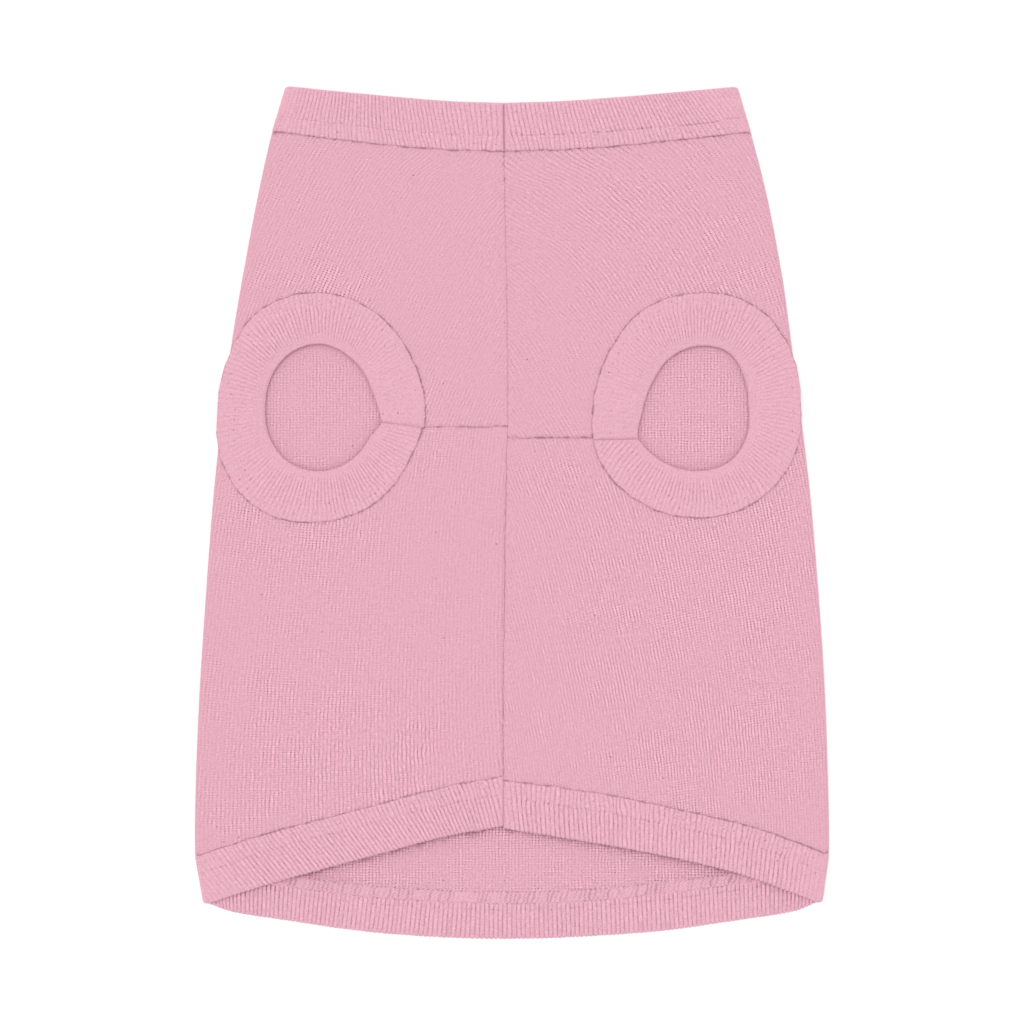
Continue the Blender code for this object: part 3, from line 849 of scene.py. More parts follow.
class FrontHalf:
    """One half of the front, laid out in plan, with its fold's upper quarter rolled out flat."""

    def __init__(self, side):
        self.side = side
        self.sign = SIGN[side]
        self.leg = next(leg for leg in LEG_BANDS if leg.side == side)
        self.hem = body_gap_curve(side, HEM, 80)
        self.neck = body_gap_curve(side, NECK, 60)
        low, high = (mouth.side_height("seam", side) - mouth.gap for mouth in (HEM, NECK))
        self.side_y = np.linspace(low, high, SIDE_ROWS)

    def edge_y(self, line, x):
        """Height of the body's hem or neck edge above a place across."""
        order = np.argsort(line[:, 0])
        return np.interp(x, line[order, 0], line[order, 1])

    def side_x(self, y):
        """The rolled-out place across of the side fold's outermost line."""
        return HALF_WIDTH[self.side](y) - FOLD_RADIUS + QUARTER

    def seam_distances(self, x, y):
        """Distances to the seams round a place, in plan: belly, cross, leg, hem and neck."""
        belly = self.sign * (x - BELLY(y)) - SEAM_GAP / 2
        leg = (np.hypot(x - self.leg.x, y - self.leg.y)
               - hole_radius(self.leg)(turn_of(self.leg, x, y)) - SEAM_GAP / 2)
        cross = np.abs(y - cross_seam(self.leg, x)) - SEAM_GAP / 2
        in_reach = self.sign * (self.leg.x - x) > 0.0
        cross = np.where(in_reach & (leg > -1.0), cross, 1e3)
        hem = (y - self.edge_y(self.hem, x)) * HEM_SLOPE
        neck = (self.edge_y(self.neck, x) - y) * NECK_SLOPE
        return np.array([belly, cross, leg, hem, neck])

    def outline(self):
        """The half's outer edge, in rolled-out places across."""
        belly_y = np.linspace(self.neck[0, 1], self.hem[0, 1], 170)
        belly = stack(BELLY(belly_y) + self.sign * SEAM_GAP / 2, belly_y)
        side = stack(self.sign * self.side_x(self.side_y), self.side_y)
        return np.concatenate([self.hem, side, self.neck[::-1], belly[1:-1]])

    def leg_ring(self, count, step):
        """Points round the leg hole, a step away from its seam."""
        turns = np.linspace(0.0, 360.0, count, endpoint=False) + 30.0 * step
        radius = hole_radius(self.leg)(wrap_turn(self.leg, turns)) + SEAM_GAP / 2 + step
        return stack(*leg_point(self.leg, turns, radius))

    def mesh_points(self):
        """Points inside the outline: lines along the seams, and a grid elsewhere."""
        groups = []
        for step in EDGE_STEPS:
            spacing = 0.9 + 0.5 * step
            groups.append(self.leg_ring(LEG_STEPS if step < 1.0 else LEG_STEPS * 2 // 3, step))
            y = np.arange(self.hem[0, 1] + step, self.neck[0, 1] - step, spacing)
            groups.append(stack(BELLY(y) + self.sign * (SEAM_GAP / 2 + step), y))
            x = np.arange(2.6, 60.0, spacing) * self.sign
            groups += [stack(x, cross_seam(self.leg, x) + way * (SEAM_GAP / 2 + step)) for way in (-1.0, 1.0)]
            for line, way in ((self.hem, 1.0), (self.neck, -1.0)):
                places = np.arange(0.0, 1.0, spacing / 125.0)
                along = np.linspace(0.0, 1.0, len(line))
                groups.append(stack(np.interp(places, along, line[:, 0]),
                                    np.interp(places, along, line[:, 1]) + way * step * 1.03))
        x, y = np.meshgrid(np.arange(0.0, GRID_X, GRID), np.arange(-GRID_Y, GRID_Y, GRID))
        x[1::2] += GRID / 2
        grid = stack(self.sign * x.ravel(), y.ravel())
        near = np.abs(self.seam_distances(*grid.T)).min(axis=0)
        points = np.concatenate([*groups, grid[near > EDGE_STEPS[-1] + 0.4 * GRID]])
        # Nothing in the fold's quarter but its own columns.
        points = points[self.sign * points[:, 0] < self.side_x(points[:, 1]) - QUARTER - 0.3]
        columns = [stack(self.sign * (self.side_x(self.side_y) - QUARTER * (1.0 - share)), self.side_y)
                   for share in (0.0, 0.2, 0.4, 0.6, 0.8)]
        points = np.concatenate([points, *columns])
        return points[self.seam_distances(*points.T).min(axis=0) >= LEAST_STEP]

    def triangulate(self):
        """Points and triangles of the half, in rolled-out places across."""
        # The cross seam's cut runs from past the belly seam into the leg hole.
        cut_x = np.linspace(-8.0, 44.0, 58) * self.sign
        cut_y = cross_seam(self.leg, cut_x)
        cut = np.concatenate([stack(cut_x, cut_y - SEAM_GAP / 2), stack(cut_x, cut_y + SEAM_GAP / 2)[::-1]])
        loops = [self.outline(), self.leg_ring(LEG_STEPS, 0.0), cut]
        edges, start = [], 0
        for loop in loops:
            edges += [(start + i, start + (i + 1) % len(loop)) for i in range(len(loop))]
            start += len(loop)
        flat = [Vector(point) for point in np.concatenate([*loops, self.mesh_points()]).tolist()]
        found = delaunay_2d_cdt(flat, edges, [], 0, 1e-4)
        places = np.array([tuple(point) for point in found[0]])
        triangles = np.array([face for face in found[2] if len(face) == 3])
        middle = places[triangles].mean(axis=1)
        side = self.side_x(middle[:, 1]) - self.sign * middle[:, 0]
        inside = (self.seam_distances(*middle.T).min(axis=0) > 0.0) & (side > 0.0)
        used, triangles = np.unique(triangles[inside], return_inverse=True)
        return places[used], triangles.reshape(-1, 3)

    def lift(self, places):
        """Outer and inner points of the half at rolled-out places, their pattern and the painted shade along
        their seams.
        """
        across, y = self.sign * places[:, 0], places[:, 1]
        fold_x = HALF_WIDTH[self.side](y) - FOLD_RADIUS
        angle = np.clip((across - fold_x) / FOLD_RADIUS, 0.0, math.pi / 2)
        flat_x = np.minimum(across, fold_x)
        x = self.sign * flat_x
        distances = self.seam_distances(places[:, 0], y)
        uneven = 1.0 + 0.40 * wander_2d(x, y, 24, 2.6) + 0.30 * wander_2d(x, y, 25, 12.0)
        low_down = ease((60.0 - y) / 70.0)
        deeper, wider = BELLY_ROLL[self.side]
        leg_dip = Curve(self.leg.rows, "turn", "dip")(turn_of(self.leg, places[:, 0], y))
        rolls = ((0.15 + deeper * low_down, 1.0 + wider * low_down), (0.64, 1.2 * SEAM_ROLL),
                 (leg_dip, SEAM_ROLL), (0.05, SEAM_ROLL), (0.08, SEAM_ROLL))
        dips = [depth * fall(one, width) for one, (depth, width) in zip(distances, rolls)]
        top = FRONT_BASE + CLOTH + front_relief(x, y, distances) - np.max(dips, axis=0) * uneven

        def skin(radius, height):
            """Points at a height, or at a radius round the fold."""
            z = np.where(angle > 0.0, FOLD_RADIUS + radius * np.cos(angle), height)
            return stack(self.sign * (flat_x + radius * np.sin(angle)), y, z)

        # How dark the painted shade is along each seam, in broken dashes: belly, cross, leg, hem and neck.
        seam_shade_depths = (0.2 + 0.8 * ease((y - 126.0) / 10.0), 0.9, 0.9, 0.8, 1.0)
        stitched = np.max([pull * fall(one, 0.9) for one, pull in zip(distances, seam_shade_depths)], axis=0)
        return (skin(FOLD_RADIUS, top), skin(FOLD_RADIUS - CLOTH, FRONT_BASE), self.pattern(across, y),
                np.where(angle > 0.0, 0.0, stitched))

    def slope(self, y):
        return self.side_x(y + 0.5) - self.side_x(y - 0.5)

    def pattern(self, across, y):
        """The flat pattern at rolled-out places: the front folded out about its side fold."""
        foot = y
        for _ in range(6):
            foot = y + (across - self.side_x(foot)) * self.slope(foot)
        slope = self.slope(foot)
        length = np.sqrt(1.0 + slope**2)
        distance = (self.side_x(foot) - across) * length
        twist = np.where(y > self.leg.cross_seam_y, *TWIST[self.side])
        angle = np.radians(twist) * distance / 100.0 * self.sign
        du = self.side_x(foot) + distance / length - PIVOT_X
        dv = foot - distance * slope / length - PIVOT_Y
        u = PIVOT_X + du * np.cos(angle) + dv * np.sin(angle)
        v = PIVOT_Y - du * np.sin(angle) + dv * np.cos(angle)
        return stack(self.sign * u, v)


def front_relief(x, y, distances):
    """How far the front rises and dips as it lies: its creases and the pull of its seams."""
    relief = np.zeros_like(x)
    for crease in CREASES:
        angle = math.radians(crease.turn)
        along = (x - crease.x) * math.cos(angle) + (y - crease.y) * math.sin(angle)
        off = -(x - crease.x) * math.sin(angle) + (y - crease.y) * math.cos(angle)
        off = off + 2.0 * np.sin(along / crease.length * 4.0)
        shape = np.exp(-(off / crease.width * 2.0) ** 2) * np.exp(-(along / crease.length * 2.0) ** 2)
        relief += crease.height * shape
    relief += 0.05 * wander_2d(x, y, 21, 14.0) + 0.03 * wander_2d(x, y, 22, 5.0)
    near = np.maximum(distances.min(axis=0), 0.0)
    pucker = 0.10 * wander_2d(x, y, 23, 3.4) * np.exp(-near / 3.0)
    allowance = np.where(x > BELLY(y), 0.28, 0.08) * np.exp(-((distances[0] - 1.6) / 1.1) ** 2)
    return relief * ease(near / 5.0) + pucker + allowance


HEM_ROWS = (0.0, 0.3, 0.7, 1.2, 1.9, 2.9)  # distances of the back's first mesh lines from the hem seam
EVEN_FROM = 4.2  # distance from which they lie evenly
HEM_RISE = 0.75  # how far the back's knit rises on to the hem's seam allowance


def back_columns():
    """Columns of the back and of the lower quarters of both side folds, as panels and shares."""
    quarter = (0.2, 0.4, 0.6, 0.8, 1.0)
    count = round(240.0 / BACK_GRID)
    middle = [("back", -1.0 + 2.0 * step / count) for step in range(count + 1)]
    return [("left", share) for share in reversed(quarter)] + middle + [("right", share) for share in quarter]


def back_heights(hem_y, neck_y, share):
    """Heights of the back's mesh points in one column, closer together at the hem seam."""
    even = np.linspace(hem_y, neck_y, SIDE_ROWS)
    close = np.concatenate([hem_y + np.array(HEM_ROWS),
                            np.linspace(hem_y + EVEN_FROM, neck_y, SIDE_ROWS - len(HEM_ROWS))])
    return even + (close - even) * ease((1.0 - abs(share)) / 0.12)


def make_body(materials):
    """The wrapped body as one closed shell."""
    halves = {side: FrontHalf(side) for side in SIGN}
    parts, triangles, total = [], [], 0
    for half in halves.values():
        places, faces = half.triangulate()
        parts.append(half.lift(places))
        triangles.append(faces + total)
        total += len(places)
    columns = back_columns()
    for panel, share in columns:
        side = panel if panel in SIGN else "left" if share < 0.0 else "right"
        y = side_y = halves[side].side_y
        fold_x = HALF_WIDTH[side](side_y) - FOLD_RADIUS
        if panel == "back":
            hem_y, neck_y = (float(mouth.back["seam"](share)) - mouth.gap for mouth in (HEM, NECK))
            y = back_heights(hem_y, neck_y, share)
            outer, inner = back_wall(share, y, side_y, CLOTH)
            inner[:, 2] += HEM_RISE * np.exp(-((y - hem_y) / 1.3) ** 2) * ease((1.0 - abs(share)) / 0.15)
            u = outer[:, 0] * (fold_x + QUARTER) / fold_x
        else:
            outer, inner = fold_wall(side, 1.0 - share / 2, y, side_y, CLOTH)
            u = SIGN[side] * (fold_x + QUARTER * share)
        parts.append((outer, inner, stack(u, y), np.zeros(SIDE_ROWS)))
    grid = total + np.arange(len(columns) * SIDE_ROWS).reshape(-1, SIDE_ROWS)
    a, b, c, d = grid[:-1, :-1], grid[1:, :-1], grid[1:, 1:], grid[:-1, 1:]
    triangles.append(np.stack([a, c, b, a, d, c], axis=-1).reshape(-1, 3))
    skins, faces = weld([np.concatenate(kind) for kind in zip(*parts)], np.concatenate(triangles))
    return close_shell("body_knit", *skins, faces, materials)


def weld(columns, faces):
    """Joins points whose outer places, the first column, are the same, as along the side folds."""
    keys = np.round(columns[0] / 0.004).astype(np.int64)
    _, first, index = np.unique(keys, axis=0, return_index=True, return_inverse=True)
    faces = index.reshape(-1)[faces]
    whole = (faces != np.roll(faces, -1, axis=1)).all(axis=1)
    return [column[first] for column in columns], faces[whole]


def inside_show(x, y):
    """How far the stitches stand out on the body's inside, as painted shade: most in the painted shadow of
    the front.
    """
    sides = ease((-110.0 - y) / 12.0) * ease((hem_share(x) - 0.25) / 0.3)
    return 0.58 + 0.0014 * x + 0.36 * sides + 0.7 * under_front(x, y) * ease((-110.0 - y) / 8.0)


BACK_SHOW = {"wales": 0.55, "courses": 0.35}  # how far the knit's lines stand out on the back's outside


def close_shell(name, outer, inner, pattern, stitched, faces, materials):
    """An outer skin, its inner skin and the rim between them."""
    count = len(outer)
    edges = np.concatenate([faces[:, [0, 1]], faces[:, [1, 2]], faces[:, [2, 0]]])
    there = set(map(tuple, edges.tolist()))
    rim = [(a, b) for a, b in there if (b, a) not in there]
    skin = faces.tolist() + (faces[:, ::-1] + count).tolist()
    skin += [(b, a, a + count, b + count) for a, b in rim]
    kinds = [0] * len(faces) + [1] * len(faces) + [0] * len(rim)
    inside = inside_show(inner[:, 0], inner[:, 1])
    attributes = {}
    for kind, level in BACK_SHOW.items():
        show = np.where(outer[:, 2] > FRONT_BASE, knit_show(outer[:, 0], outer[:, 1], kind), level)
        attributes[kind] = np.concatenate([show, inside])
    # Dashes of painted shadow on the back's inside, just under the front's hem.
    painted_hem_shadow = under_front(inner[:, 0], inner[:, 1]) ** 4 * ease((-115.0 - inner[:, 1]) / 8.0)
    attributes["stitched"] = np.concatenate([stitched, painted_hem_shadow])
    return make_mesh(name, np.concatenate([outer, inner]), skin, np.concatenate([pattern, pattern]),
                     materials, attributes, kinds)


# ---- Materials ----

WALE = 1.36  # width of a column of stitches in the plain knit
COURSE = 1.06  # height of a row of stitches
RIB_COURSE = 1.2  # the same in the rib
WALE_MEAN, COURSE_MEAN, RIB_MEAN = 0.338, 0.344, 0.246  # means of the peaks that draw their lines
DOT_MEAN = 0.116
NEEDLE_EVERY = 2.2  # ribs from one pit of the needle's stitches to the next
NEAR_LINE = -3.8  # place of the second line of pits, from the first
MEAN_SHADE = 0.27  # how far plain cloth lies between its bright colour and that of the painted shade in its gaps
BUMP = 0.08  # how deep the gaps look
CLOTH_SURFACE = {"Roughness": 0.92, "Specular IOR Level": 0.25, "Sheen Weight": 0.2, "Sheen Roughness": 0.5}
THREAD_SURFACE = {"Roughness": 0.8, "Specular IOR Level": 0.3}


class Value:
    """A node's output. Arithmetic with it adds the nodes that work it out."""

    def __init__(self, nodes, socket):
        self.nodes = nodes
        self.socket = socket

    def __add__(self, other):
        return self.nodes.math("ADD", self, other)

    def __sub__(self, other):
        return self.nodes.math("SUBTRACT", self, other)

    def __rsub__(self, other):
        return self.nodes.math("SUBTRACT", other, self)

    def __mul__(self, other):
        return self.nodes.math("MULTIPLY", self, other)

    def __truediv__(self, other):
        return self.nodes.math("DIVIDE", self, other)


class Outputs:
    """A node's outputs as values, by name or number."""

    def __init__(self, nodes, node):
        self.nodes = nodes
        self.sockets = node.outputs

    def __getitem__(self, key):
        return Value(self.nodes, self.sockets[key])


class Nodes:
    """A node tree with short ways to add and link nodes."""

    def __init__(self, tree):
        self.tree = tree

    def feed(self, socket, value):
        if isinstance(value, Value):
            self.tree.links.new(value.socket, socket)
        else:
            socket.default_value = value

    def add(self, kind, inputs=(), **settings):
        """A new node's outputs; inputs are its values by name or number."""
        node = self.tree.nodes.new(kind)
        for key, value in settings.items():
            setattr(node, key, value)
        for key, value in dict(inputs).items():
            self.feed(node.inputs[key], value)
        return Outputs(self, node)

    def math(self, operation, *values, clamp=False):
        return self.add("ShaderNodeMath", enumerate(values), operation=operation, use_clamp=clamp)[0]

    def wave(self, turns):
        """0 at whole turns and 1 half way between them."""
        return self.math("COSINE", turns * (2.0 * math.pi)) * -0.5 + 0.5

    def valley(self, turns, sharpness, mean):
        """A narrow peak at each whole turn, its mean over a turn taken off."""
        return self.math("POWER", 1.0 - self.wave(turns), sharpness) - mean

    def off_middle(self, turns):
        """Distance from the middle between two whole turns."""
        return self.math("ABSOLUTE", self.math("FRACT", turns) - 0.5)

    def noise(self, vector, scale, detail=2.0, roughness=0.5, dimensions="3D"):
        inputs = {"Vector": vector, "Scale": scale, "Detail": detail, "Roughness": roughness}
        return self.add("ShaderNodeTexNoise", inputs, noise_dimensions=dimensions)["Fac"]

    def flat_noise(self, x, y, scale):
        return self.noise(self.place(x, y), scale, 1.0, dimensions="2D")

    def place(self, x, y):
        return self.add("ShaderNodeCombineXYZ", {0: x, 1: y})[0]

    def chance(self, x, y):
        """A random number for each whole place."""
        cell = self.place(self.math("FLOOR", x), self.math("FLOOR", y))
        return self.add("ShaderNodeTexWhiteNoise", {"Vector": cell}, noise_dimensions="2D")["Value"]

    def spread(self, value, low, high, to_low=0.0, to_high=1.0):
        """value from low..high to to_low..to_high, clamped."""
        return self.add("ShaderNodeMapRange", enumerate((value, low, high, to_low, to_high)), clamp=True)[0]

    def attribute(self, name):
        return self.add("ShaderNodeAttribute", attribute_name=name)["Fac"]

    def group(self, name, build, **inputs):
        """The outputs of a node group, which build makes the first time that it's needed."""
        tree = bpy.data.node_groups.get(name) or new_group(name, build, inputs)
        return self.add("ShaderNodeGroup", inputs, node_tree=tree)


def new_group(name, build, labels):
    """A shader node group, whose outputs are what build makes of its inputs."""
    tree = bpy.data.node_groups.new(name, "ShaderNodeTree")
    for label in labels:
        kind = "NodeSocketVector" if label == "Position" else "NodeSocketFloat"
        tree.interface.new_socket(label, in_out="INPUT", socket_type=kind)
    nodes = Nodes(tree)
    results = build(nodes, nodes.add("NodeGroupInput"))
    for label in results:
        tree.interface.new_socket(label, in_out="OUTPUT", socket_type="NodeSocketFloat")
    nodes.add("NodeGroupOutput", results)
    return tree


def plain_knit(nodes, given):
    """Plain knit in the flat pattern: painted shade in lines between its columns and its rows of stitches.

    The lines are broken and uneven, as the yarn is. Where they cross the painted shade is darker, in dots.
    """
    wales, courses = given["Across"] / WALE, given["Along"] / COURSE
    bent = nodes.off_middle(wales) * given["Slant"] + courses
    wale_line = nodes.valley(wales, 2.5, WALE_MEAN)
    course_line = nodes.valley(bent, 2.4, COURSE_MEAN)
    # Each line comes and goes along its length.
    wale_yarn = nodes.spread(nodes.flat_noise(wales, given["Along"] / 5.5, 1.0), 0.36, 0.66, 0.0, 1.5)
    course_yarn = nodes.spread(nodes.flat_noise(given["Across"] / 6.0, courses, 1.0), 0.40, 0.68, 0.0, 1.5)
    wale_dark = wale_line * (course_line * 1.7 + 1.0) * wale_yarn * given["Wales"]
    course_dark = course_line * course_yarn * given["Courses"]
    show = nodes.math("MAXIMUM", given["Wales"], given["Courses"])
    dots = ((wale_line + WALE_MEAN) * (course_line + COURSE_MEAN) - DOT_MEAN) * show * 2.2
    gap = (course_dark * 0.75 + wale_dark) * given["Lines"] + dots
    return {"Gap": gap * (nodes.chance(wales, bent) * 1.7 + 0.15),
            "Rough": nodes.math("MULTIPLY_ADD", show, 0.8, 0.42, clamp=True)}


def rib_knit(nodes, given):
    """Rib knit: rounded ribs of V stitches, with painted shade in the valleys, which small rungs cross, and
    painted light and shade along the stitches' legs.
    """
    ribs, courses = given["Ribs"], given["Place"] / RIB_COURSE
    legs = nodes.wave(nodes.off_middle(ribs) * -0.9 + courses)
    yarn = nodes.spread(nodes.flat_noise(ribs, given["Place"] / 4.2, 1.0), 0.32, 0.66, 0.30, 1.45)
    rung = nodes.wave(courses) * -0.55 + 1.15
    dark = nodes.valley(ribs, 5.0, RIB_MEAN) * yarn * rung * given["Show"]
    soft = (0.5 - legs) * nodes.wave(ribs) * 0.2
    return {"Gap": dark + soft, "Rough": given["Show"] * 0.25 + 0.60}


def needle_stitches(nodes, given):
    """Painted shade in rows of small pits where a needle's stitches pull into a band, in two lines along its
    seam, and in the line that they draw.
    """
    ribs, off = given["Ribs"], given["Off"]
    pits = []
    for number, line in enumerate((NEAR_LINE, 0.0)):
        turned = ribs / NEEDLE_EVERY + 0.5 * number
        chance = nodes.chance(turned, 7.0 + number)
        along = (nodes.math("FRACT", turned) - 0.5) * (NEEDLE_EVERY * RIB_PITCH)
        away = off - (chance * 0.7 + (line - 0.35))
        near = nodes.spread(along * along + away * away, 0.01, 0.12, 1.0, 0.0)
        pits.append(near * nodes.spread(chance, 0.45, 0.85))
    drawn = nodes.spread(off * off, 0.02, 0.25, 0.28, 0.0)
    broken = nodes.spread(nodes.flat_noise(ribs, 0.5, 0.6), 0.40, 0.60)
    return {"Hole": drawn * broken * given["Line"] + nodes.math("MAXIMUM", *pits)}


def cotton_yarn(nodes, given):
    """Cotton yarn: soft mottling, fine fibres and a few dark pin holes."""
    place = given["Position"]
    cells = nodes.add("ShaderNodeTexVoronoi", {"Vector": place, "Scale": 330.0})
    rare = nodes.math("GREATER_THAN", nodes.add("ShaderNodeSeparateColor", {0: cells["Color"]})[0], 0.95)
    dot = nodes.spread(cells["Distance"], 0.05, 0.13, 1.0, 0.0)
    return {"Mottle": nodes.noise(place, 150.0, 3.0, 0.6), "Grain": nodes.noise(place, 900.0, 1.0),
            "Fibre": nodes.noise(place, 1700.0, 1.0), "Patch": nodes.noise(place, 85.0, 2.0, 0.6),
            "Hole": rare * dot}


def new_material(name, surface):
    """A material with nodes, and the node of its surface."""
    material = bpy.data.materials.new(name)
    material.use_nodes = True
    shader = material.node_tree.nodes["Principled BSDF"]
    for key, value in surface.items():
        shader.inputs[key].default_value = value
    return material, shader


def cotton_material(name, surface):
    """The start of a cotton's material: itself, its surface, its nodes, the place across and along the
    flat pattern, the place on the piece, and the yarn there."""
    material, shader = new_material(name, surface)
    nodes = Nodes(material.node_tree)
    pattern = nodes.add("ShaderNodeUVMap", uv_map="pattern")[0]
    places = nodes.add("ShaderNodeSeparateXYZ", {0: pattern})
    position = nodes.add("ShaderNodeTexCoord")["Object"]
    yarn = nodes.group("Cotton Yarn", cotton_yarn, Position=position)
    return material, shader, nodes, places[0], places[1], position, yarn


def colour_cloth(nodes, shader, shade, colour, dark):
    """Colours a surface from its own colour at shade 0 to that of the painted shade in its gaps at 1."""
    inputs = {"Factor": shade, 6: tuple(colour), 7: tuple(dark)}
    nodes.feed(shader.inputs["Base Color"], nodes.add("ShaderNodeMix", inputs, data_type="RGBA")[2])


def cloth_material(name, colour, dark, kind, gap_strength):
    """A matt cotton material; kind is face, reverse or rib."""
    material, shader, nodes, across, along, position, yarn = cotton_material(name, CLOTH_SURFACE)
    sway = nodes.spread(nodes.noise(position, 230.0), 0.25, 0.75, -1.0, 1.0)
    if kind == "rib":
        stitch = nodes.group("Rib Knit", rib_knit, Ribs=sway * 0.04 + across, Place=along,
                             Show=nodes.attribute("show"))
        pits = nodes.group("Needle Stitches", needle_stitches, Ribs=across, Off=nodes.attribute("needle"),
                           Line=nodes.attribute("line"))["Hole"]
        contrast = nodes.spread(yarn["Mottle"], 0.3, 0.7, 0.85, 1.15)
        # Painted shade along the band's seam, reaching farther up into the rib valleys.
        seam = nodes.spread(along - stitch["Gap"], 0.1, 0.7, 0.75, 0.0)
    else:
        slant, lines = {"face": (-0.9, 0.85), "reverse": (0.5, 0.75)}[kind]
        stitch = nodes.group("Plain Knit", plain_knit, Across=sway * 0.30 + across,
                             Along=sway * 0.25 + along, Wales=nodes.attribute("wales"),
                             Courses=nodes.attribute("courses"), Slant=slant, Lines=lines)
        contrast = nodes.spread(yarn["Patch"], 0.36, 0.64, 0.45, 1.35)
        # Painted shade along the body's seams and under the front's hem.
        seam = nodes.attribute("stitched")
    shade = stitch["Gap"] * contrast * gap_strength + MEAN_SHADE
    for key, depth in (("Mottle", 0.02), ("Grain", 0.14), ("Fibre", 0.34)):
        shade = nodes.spread(yarn[key], 0.28, 0.72, depth / 2, -depth / 2) * stitch["Rough"] + shade
    shade = yarn["Hole"] * 0.65 + shade
    # Painted shade in the needle's pits and along its line.
    if kind == "rib":
        shade = pits * 0.50 + shade
    # The painted shade along seams and under the front's hem falls in broken dashes.
    dashes = nodes.spread(nodes.noise(position, 400.0, 1.0), 0.46, 0.60, 0.0, 0.40)
    shade = nodes.math("ADD", seam * dashes, shade, clamp=True)
    colour_cloth(nodes, shader, shade, colour, dark)
    relief = nodes.add("ShaderNodeBump", {"Strength": 1.0, "Distance": BUMP * MM, "Height": shade * -1.0})
    nodes.feed(shader.inputs["Normal"], relief[0])
    return material


def thread_material(name, colour, dark):
    """Loops of soft sewing thread over cloth, with painted shade between the loops and in the needle's dents.
    """
    material, shader, nodes, across, along, _, yarn = cotton_material(name, THREAD_SURFACE)
    twist = nodes.wave(across * 0.5 + along * 0.9)
    shade = (0.5 - twist) * 0.16 + (MEAN_SHADE - 0.04) + nodes.attribute("gap") * 0.5
    shade = shade + nodes.spread(yarn["Fibre"], 0.28, 0.72, 0.14, -0.14)
    colour_cloth(nodes, shader, nodes.math("MAXIMUM", shade, 0.0), colour, dark)
    return material


# ---- Settings and operators ----

def colour_setting(name, description, *default):
    return FloatVectorProperty(name=name, description=description, subtype="COLOR", size=4,
                               default=(*default, 1.0), min=0.0, max=1.0)


class TankTopSizes(bpy.types.PropertyGroup):
    """Sizes of the cloth's finer form, in millimetres."""

    rib_height: FloatProperty(name="Rib height", description="Height of a rib over its valleys, mm",
                              default=0.42, min=0.1, max=0.5)
    seam_roll: FloatProperty(name="Seam roll", description="Width in which a band rolls into its join, mm",
                             default=0.8, min=0.2, max=2.0)


class TankTopColours(bpy.types.PropertyGroup):
    """Colours of the cloth and the stage."""

    knit: colour_setting("Knit", "Colour of the plain knit", 0.722, 0.3845, 0.4725)
    rib: colour_setting("Rib", "Colour of the rib bands", 0.748, 0.4045, 0.4955)
    # dark is the colour of all painted shade: in the gaps between stitches, along seams, under the front's
    # hem and between the overlock's loops.
    dark: colour_setting("Gaps", "Colour in the gaps between stitches", 0.20, 0.085, 0.115)
    floor: colour_setting("Floor", "Colour of the floor", 0.95, 0.95, 0.95)


class TankTopStage(bpy.types.PropertyGroup):
    """Camera and light."""

    lens: FloatProperty(name="Lens", description="Focal length", default=100.0, unit="CAMERA")
    frame_width: FloatProperty(name="Frame width", description="Width that the camera sees",
                               default=0.4096, unit="LENGTH")
    key: FloatProperty(name="Key light", description="Strength of the soft light from above the neck",
                       default=0.65)
    softness: FloatProperty(name="Softness", description="Angle that the key light fills", default=0.42,
                            subtype="ANGLE")
    fill: FloatProperty(name="Fill light", description="Strength of the light from all round", default=1.176)


def finish_cloth(piece, slot, *nodes):
    """Rides on the garment's body and takes the place of its solid."""
    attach(piece, BODY)
    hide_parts(*nodes)


def make_rib(scene, name, node, columns, look):
    """A rib band in place of its solid, all of them in one material."""
    colours = scene.tank_top_colours
    material = bpy.data.materials.get("rib_knit") or cloth_material(
        "rib_knit", colours.rib, colours.dark, "rib", 0.40)
    band = make_band(name, columns, material, look, scene.tank_top_sizes)
    finish_cloth(band, "rib", node)
    return band


class TANKTOP_OT_body(bpy.types.Operator):
    """Model the wrapped body of plain knit"""

    bl_idname = "tanktop.body"
    bl_label = "Body"

    def execute(self, context):
        colours = context.scene.tank_top_colours
        materials = [cloth_material("plain_knit_" + kind, colours.knit, colours.dark, kind, gap_strength)
                     for kind, gap_strength in (("face", 0.44), ("reverse", 0.32))]
        body = make_body(materials)
        finish_cloth(body, "knit", "body")
        return {"FINISHED"}


class TANKTOP_OT_neck_rib(bpy.types.Operator):
    """Model the doubled rib band round the neck"""

    bl_idname = "tanktop.neck_rib"
    bl_label = "Neck rib"

    def execute(self, context):
        columns = mouth_columns(NECK, context.scene.tank_top_sizes)
        band = make_rib(context.scene, "neck_band", "neck_rib", columns, BAND_LOOKS["neck"])
        return {"FINISHED"}


class TANKTOP_OT_hem_rib(bpy.types.Operator):
    """Model the doubled rib band round the hem"""

    bl_idname = "tanktop.hem_rib"
    bl_label = "Hem rib"

    def execute(self, context):
        columns = mouth_columns(HEM, context.scene.tank_top_sizes)
        band = make_rib(context.scene, "hem_band", "hem_rib", columns, BAND_LOOKS["hem"])
        colours = context.scene.tank_top_colours
        overlock = make_overlock("hem_overlock", thread_material("thread", colours.rib, colours.dark))
        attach(overlock, BODY)
        return {"FINISHED"}


class TANKTOP_OT_leg_ribs(bpy.types.Operator):
    """Model the doubled rib bands round the two leg holes"""

    bl_idname = "tanktop.leg_ribs"
    bl_label = "Leg ribs"

    def execute(self, context):
        look = BAND_LOOKS["leg"]
        for number, leg in enumerate(LEG_BANDS):
            columns = leg_columns(leg, context.scene.tank_top_sizes)
            band = make_rib(context.scene, leg.side + "_leg_band", leg.name, columns,
                            look._replace(seed=look.seed + number))
        return {"FINISHED"}


SENSOR = 36.0  # width of the camera's sensor, in millimetres


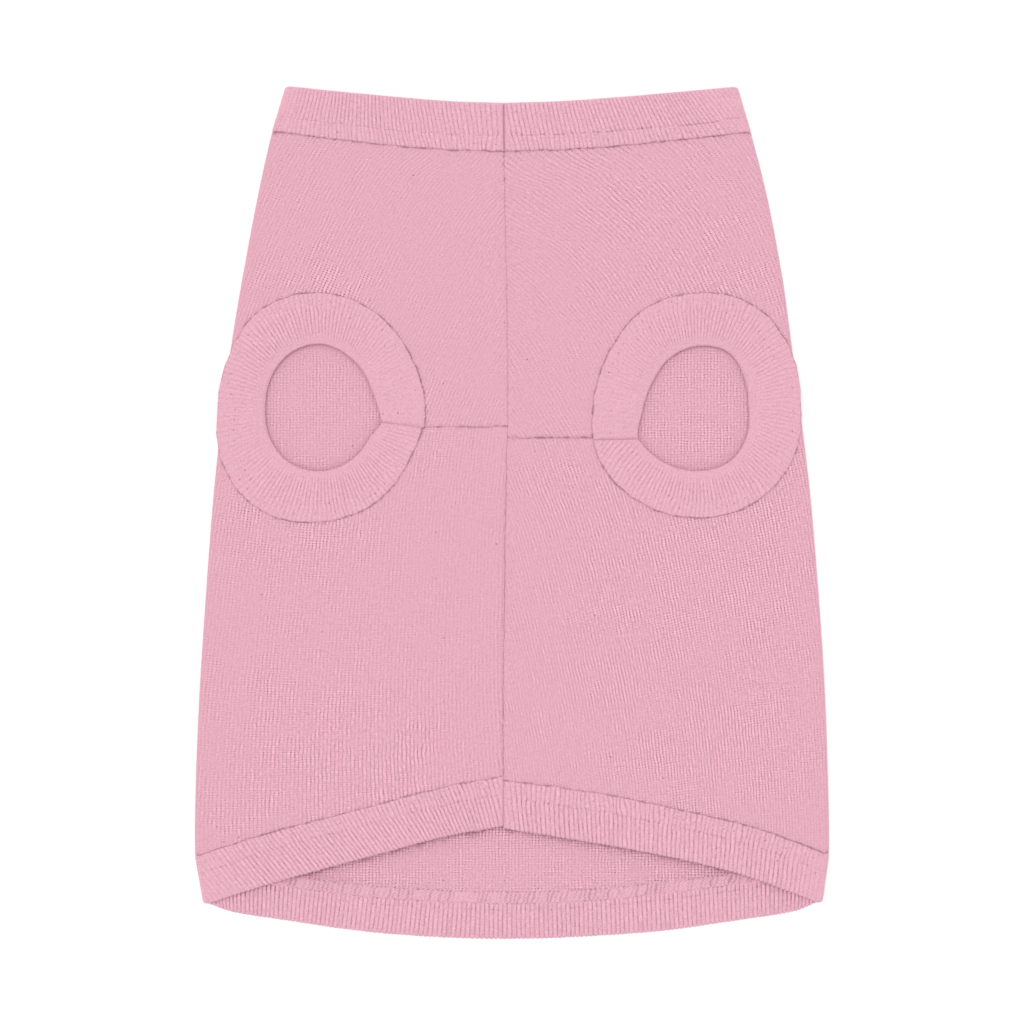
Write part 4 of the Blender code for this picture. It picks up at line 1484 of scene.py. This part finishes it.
class TANKTOP_OT_stage(bpy.types.Operator):
    """Set up the floor, the light and the camera"""

    bl_idname = "tanktop.stage"
    bl_label = "Stage"

    def execute(self, context):
        scene, stage = context.scene, context.scene.tank_top_stage
        bpy.ops.object.select_all(action="DESELECT")
        bpy.ops.mesh.primitive_plane_add(size=6.0, location=(0.0, 0.0, -0.00005))
        floor = context.object
        floor.name = "floor"
        material, _ = new_material("floor_paper", {
            "Base Color": tuple(scene.tank_top_colours.floor), "Roughness": 0.9, "Specular IOR Level": 0.1})
        floor.data.materials.append(material)
        bpy.ops.object.light_add(type="SUN", location=(-0.36, 0.56, 1.5))
        key = context.object
        key.name = "key_light"
        key.data.angle = stage.softness
        key.data.energy = stage.key
        key.rotation_euler = (-key.location).to_track_quat("-Z", "Y").to_euler()
        scene.world = bpy.data.worlds.new("studio")
        scene.world.use_nodes = True
        background = scene.world.node_tree.nodes["Background"]
        background.inputs["Color"].default_value = (1.0, 1.0, 1.0, 1.0)
        background.inputs["Strength"].default_value = stage.fill
        scene.view_settings.view_transform = "Standard"
        distance = stage.frame_width * stage.lens / SENSOR
        bpy.ops.object.camera_add(location=(0.0, 0.0, distance + FRONT_BASE * MM), rotation=(0.0, 0.0, 0.0))
        scene.camera = context.object
        scene.camera.name = "camera"
        scene.camera.data.lens = stage.lens
        scene.camera.data.sensor_width = SENSOR
        return {"FINISHED"}


STEPS = (TANKTOP_OT_body, TANKTOP_OT_neck_rib, TANKTOP_OT_hem_rib, TANKTOP_OT_leg_ribs, TANKTOP_OT_stage)


class TANKTOP_PT_panel(bpy.types.Panel):
    """Lists the garment's pieces in the order in which they are made"""

    bl_idname = "TANKTOP_PT_panel"
    bl_label = "Tank Top"
    bl_space_type = "VIEW_3D"
    bl_region_type = "UI"
    bl_category = "Tank Top"

    def draw(self, context):
        for group in ("tank_top_sizes", "tank_top_colours", "tank_top_stage"):
            settings = getattr(context.scene, group)
            box = self.layout.box()
            for key in settings.__annotations__:
                box.prop(settings, key)
        for step in STEPS:
            self.layout.operator(step.bl_idname)


GROUPS = {"tank_top_sizes": TankTopSizes, "tank_top_colours": TankTopColours,
          "tank_top_stage": TankTopStage}


def register():
    for kind in (*GROUPS.values(), *STEPS, TANKTOP_PT_panel):
        bpy.utils.register_class(kind)
    for name, group in GROUPS.items():
        setattr(bpy.types.Scene, name, PointerProperty(type=group))


def unregister():
    for name in GROUPS:
        delattr(bpy.types.Scene, name)
    for kind in reversed((*GROUPS.values(), *STEPS, TANKTOP_PT_panel)):
        bpy.utils.unregister_class(kind)


def main():
    register()
    bpy.ops.tanktop.stage()
    bpy.ops.tanktop.body()
    bpy.ops.tanktop.neck_rib()
    bpy.ops.tanktop.hem_rib()
    bpy.ops.tanktop.leg_ribs()


if __name__ == "__main__":
    main()
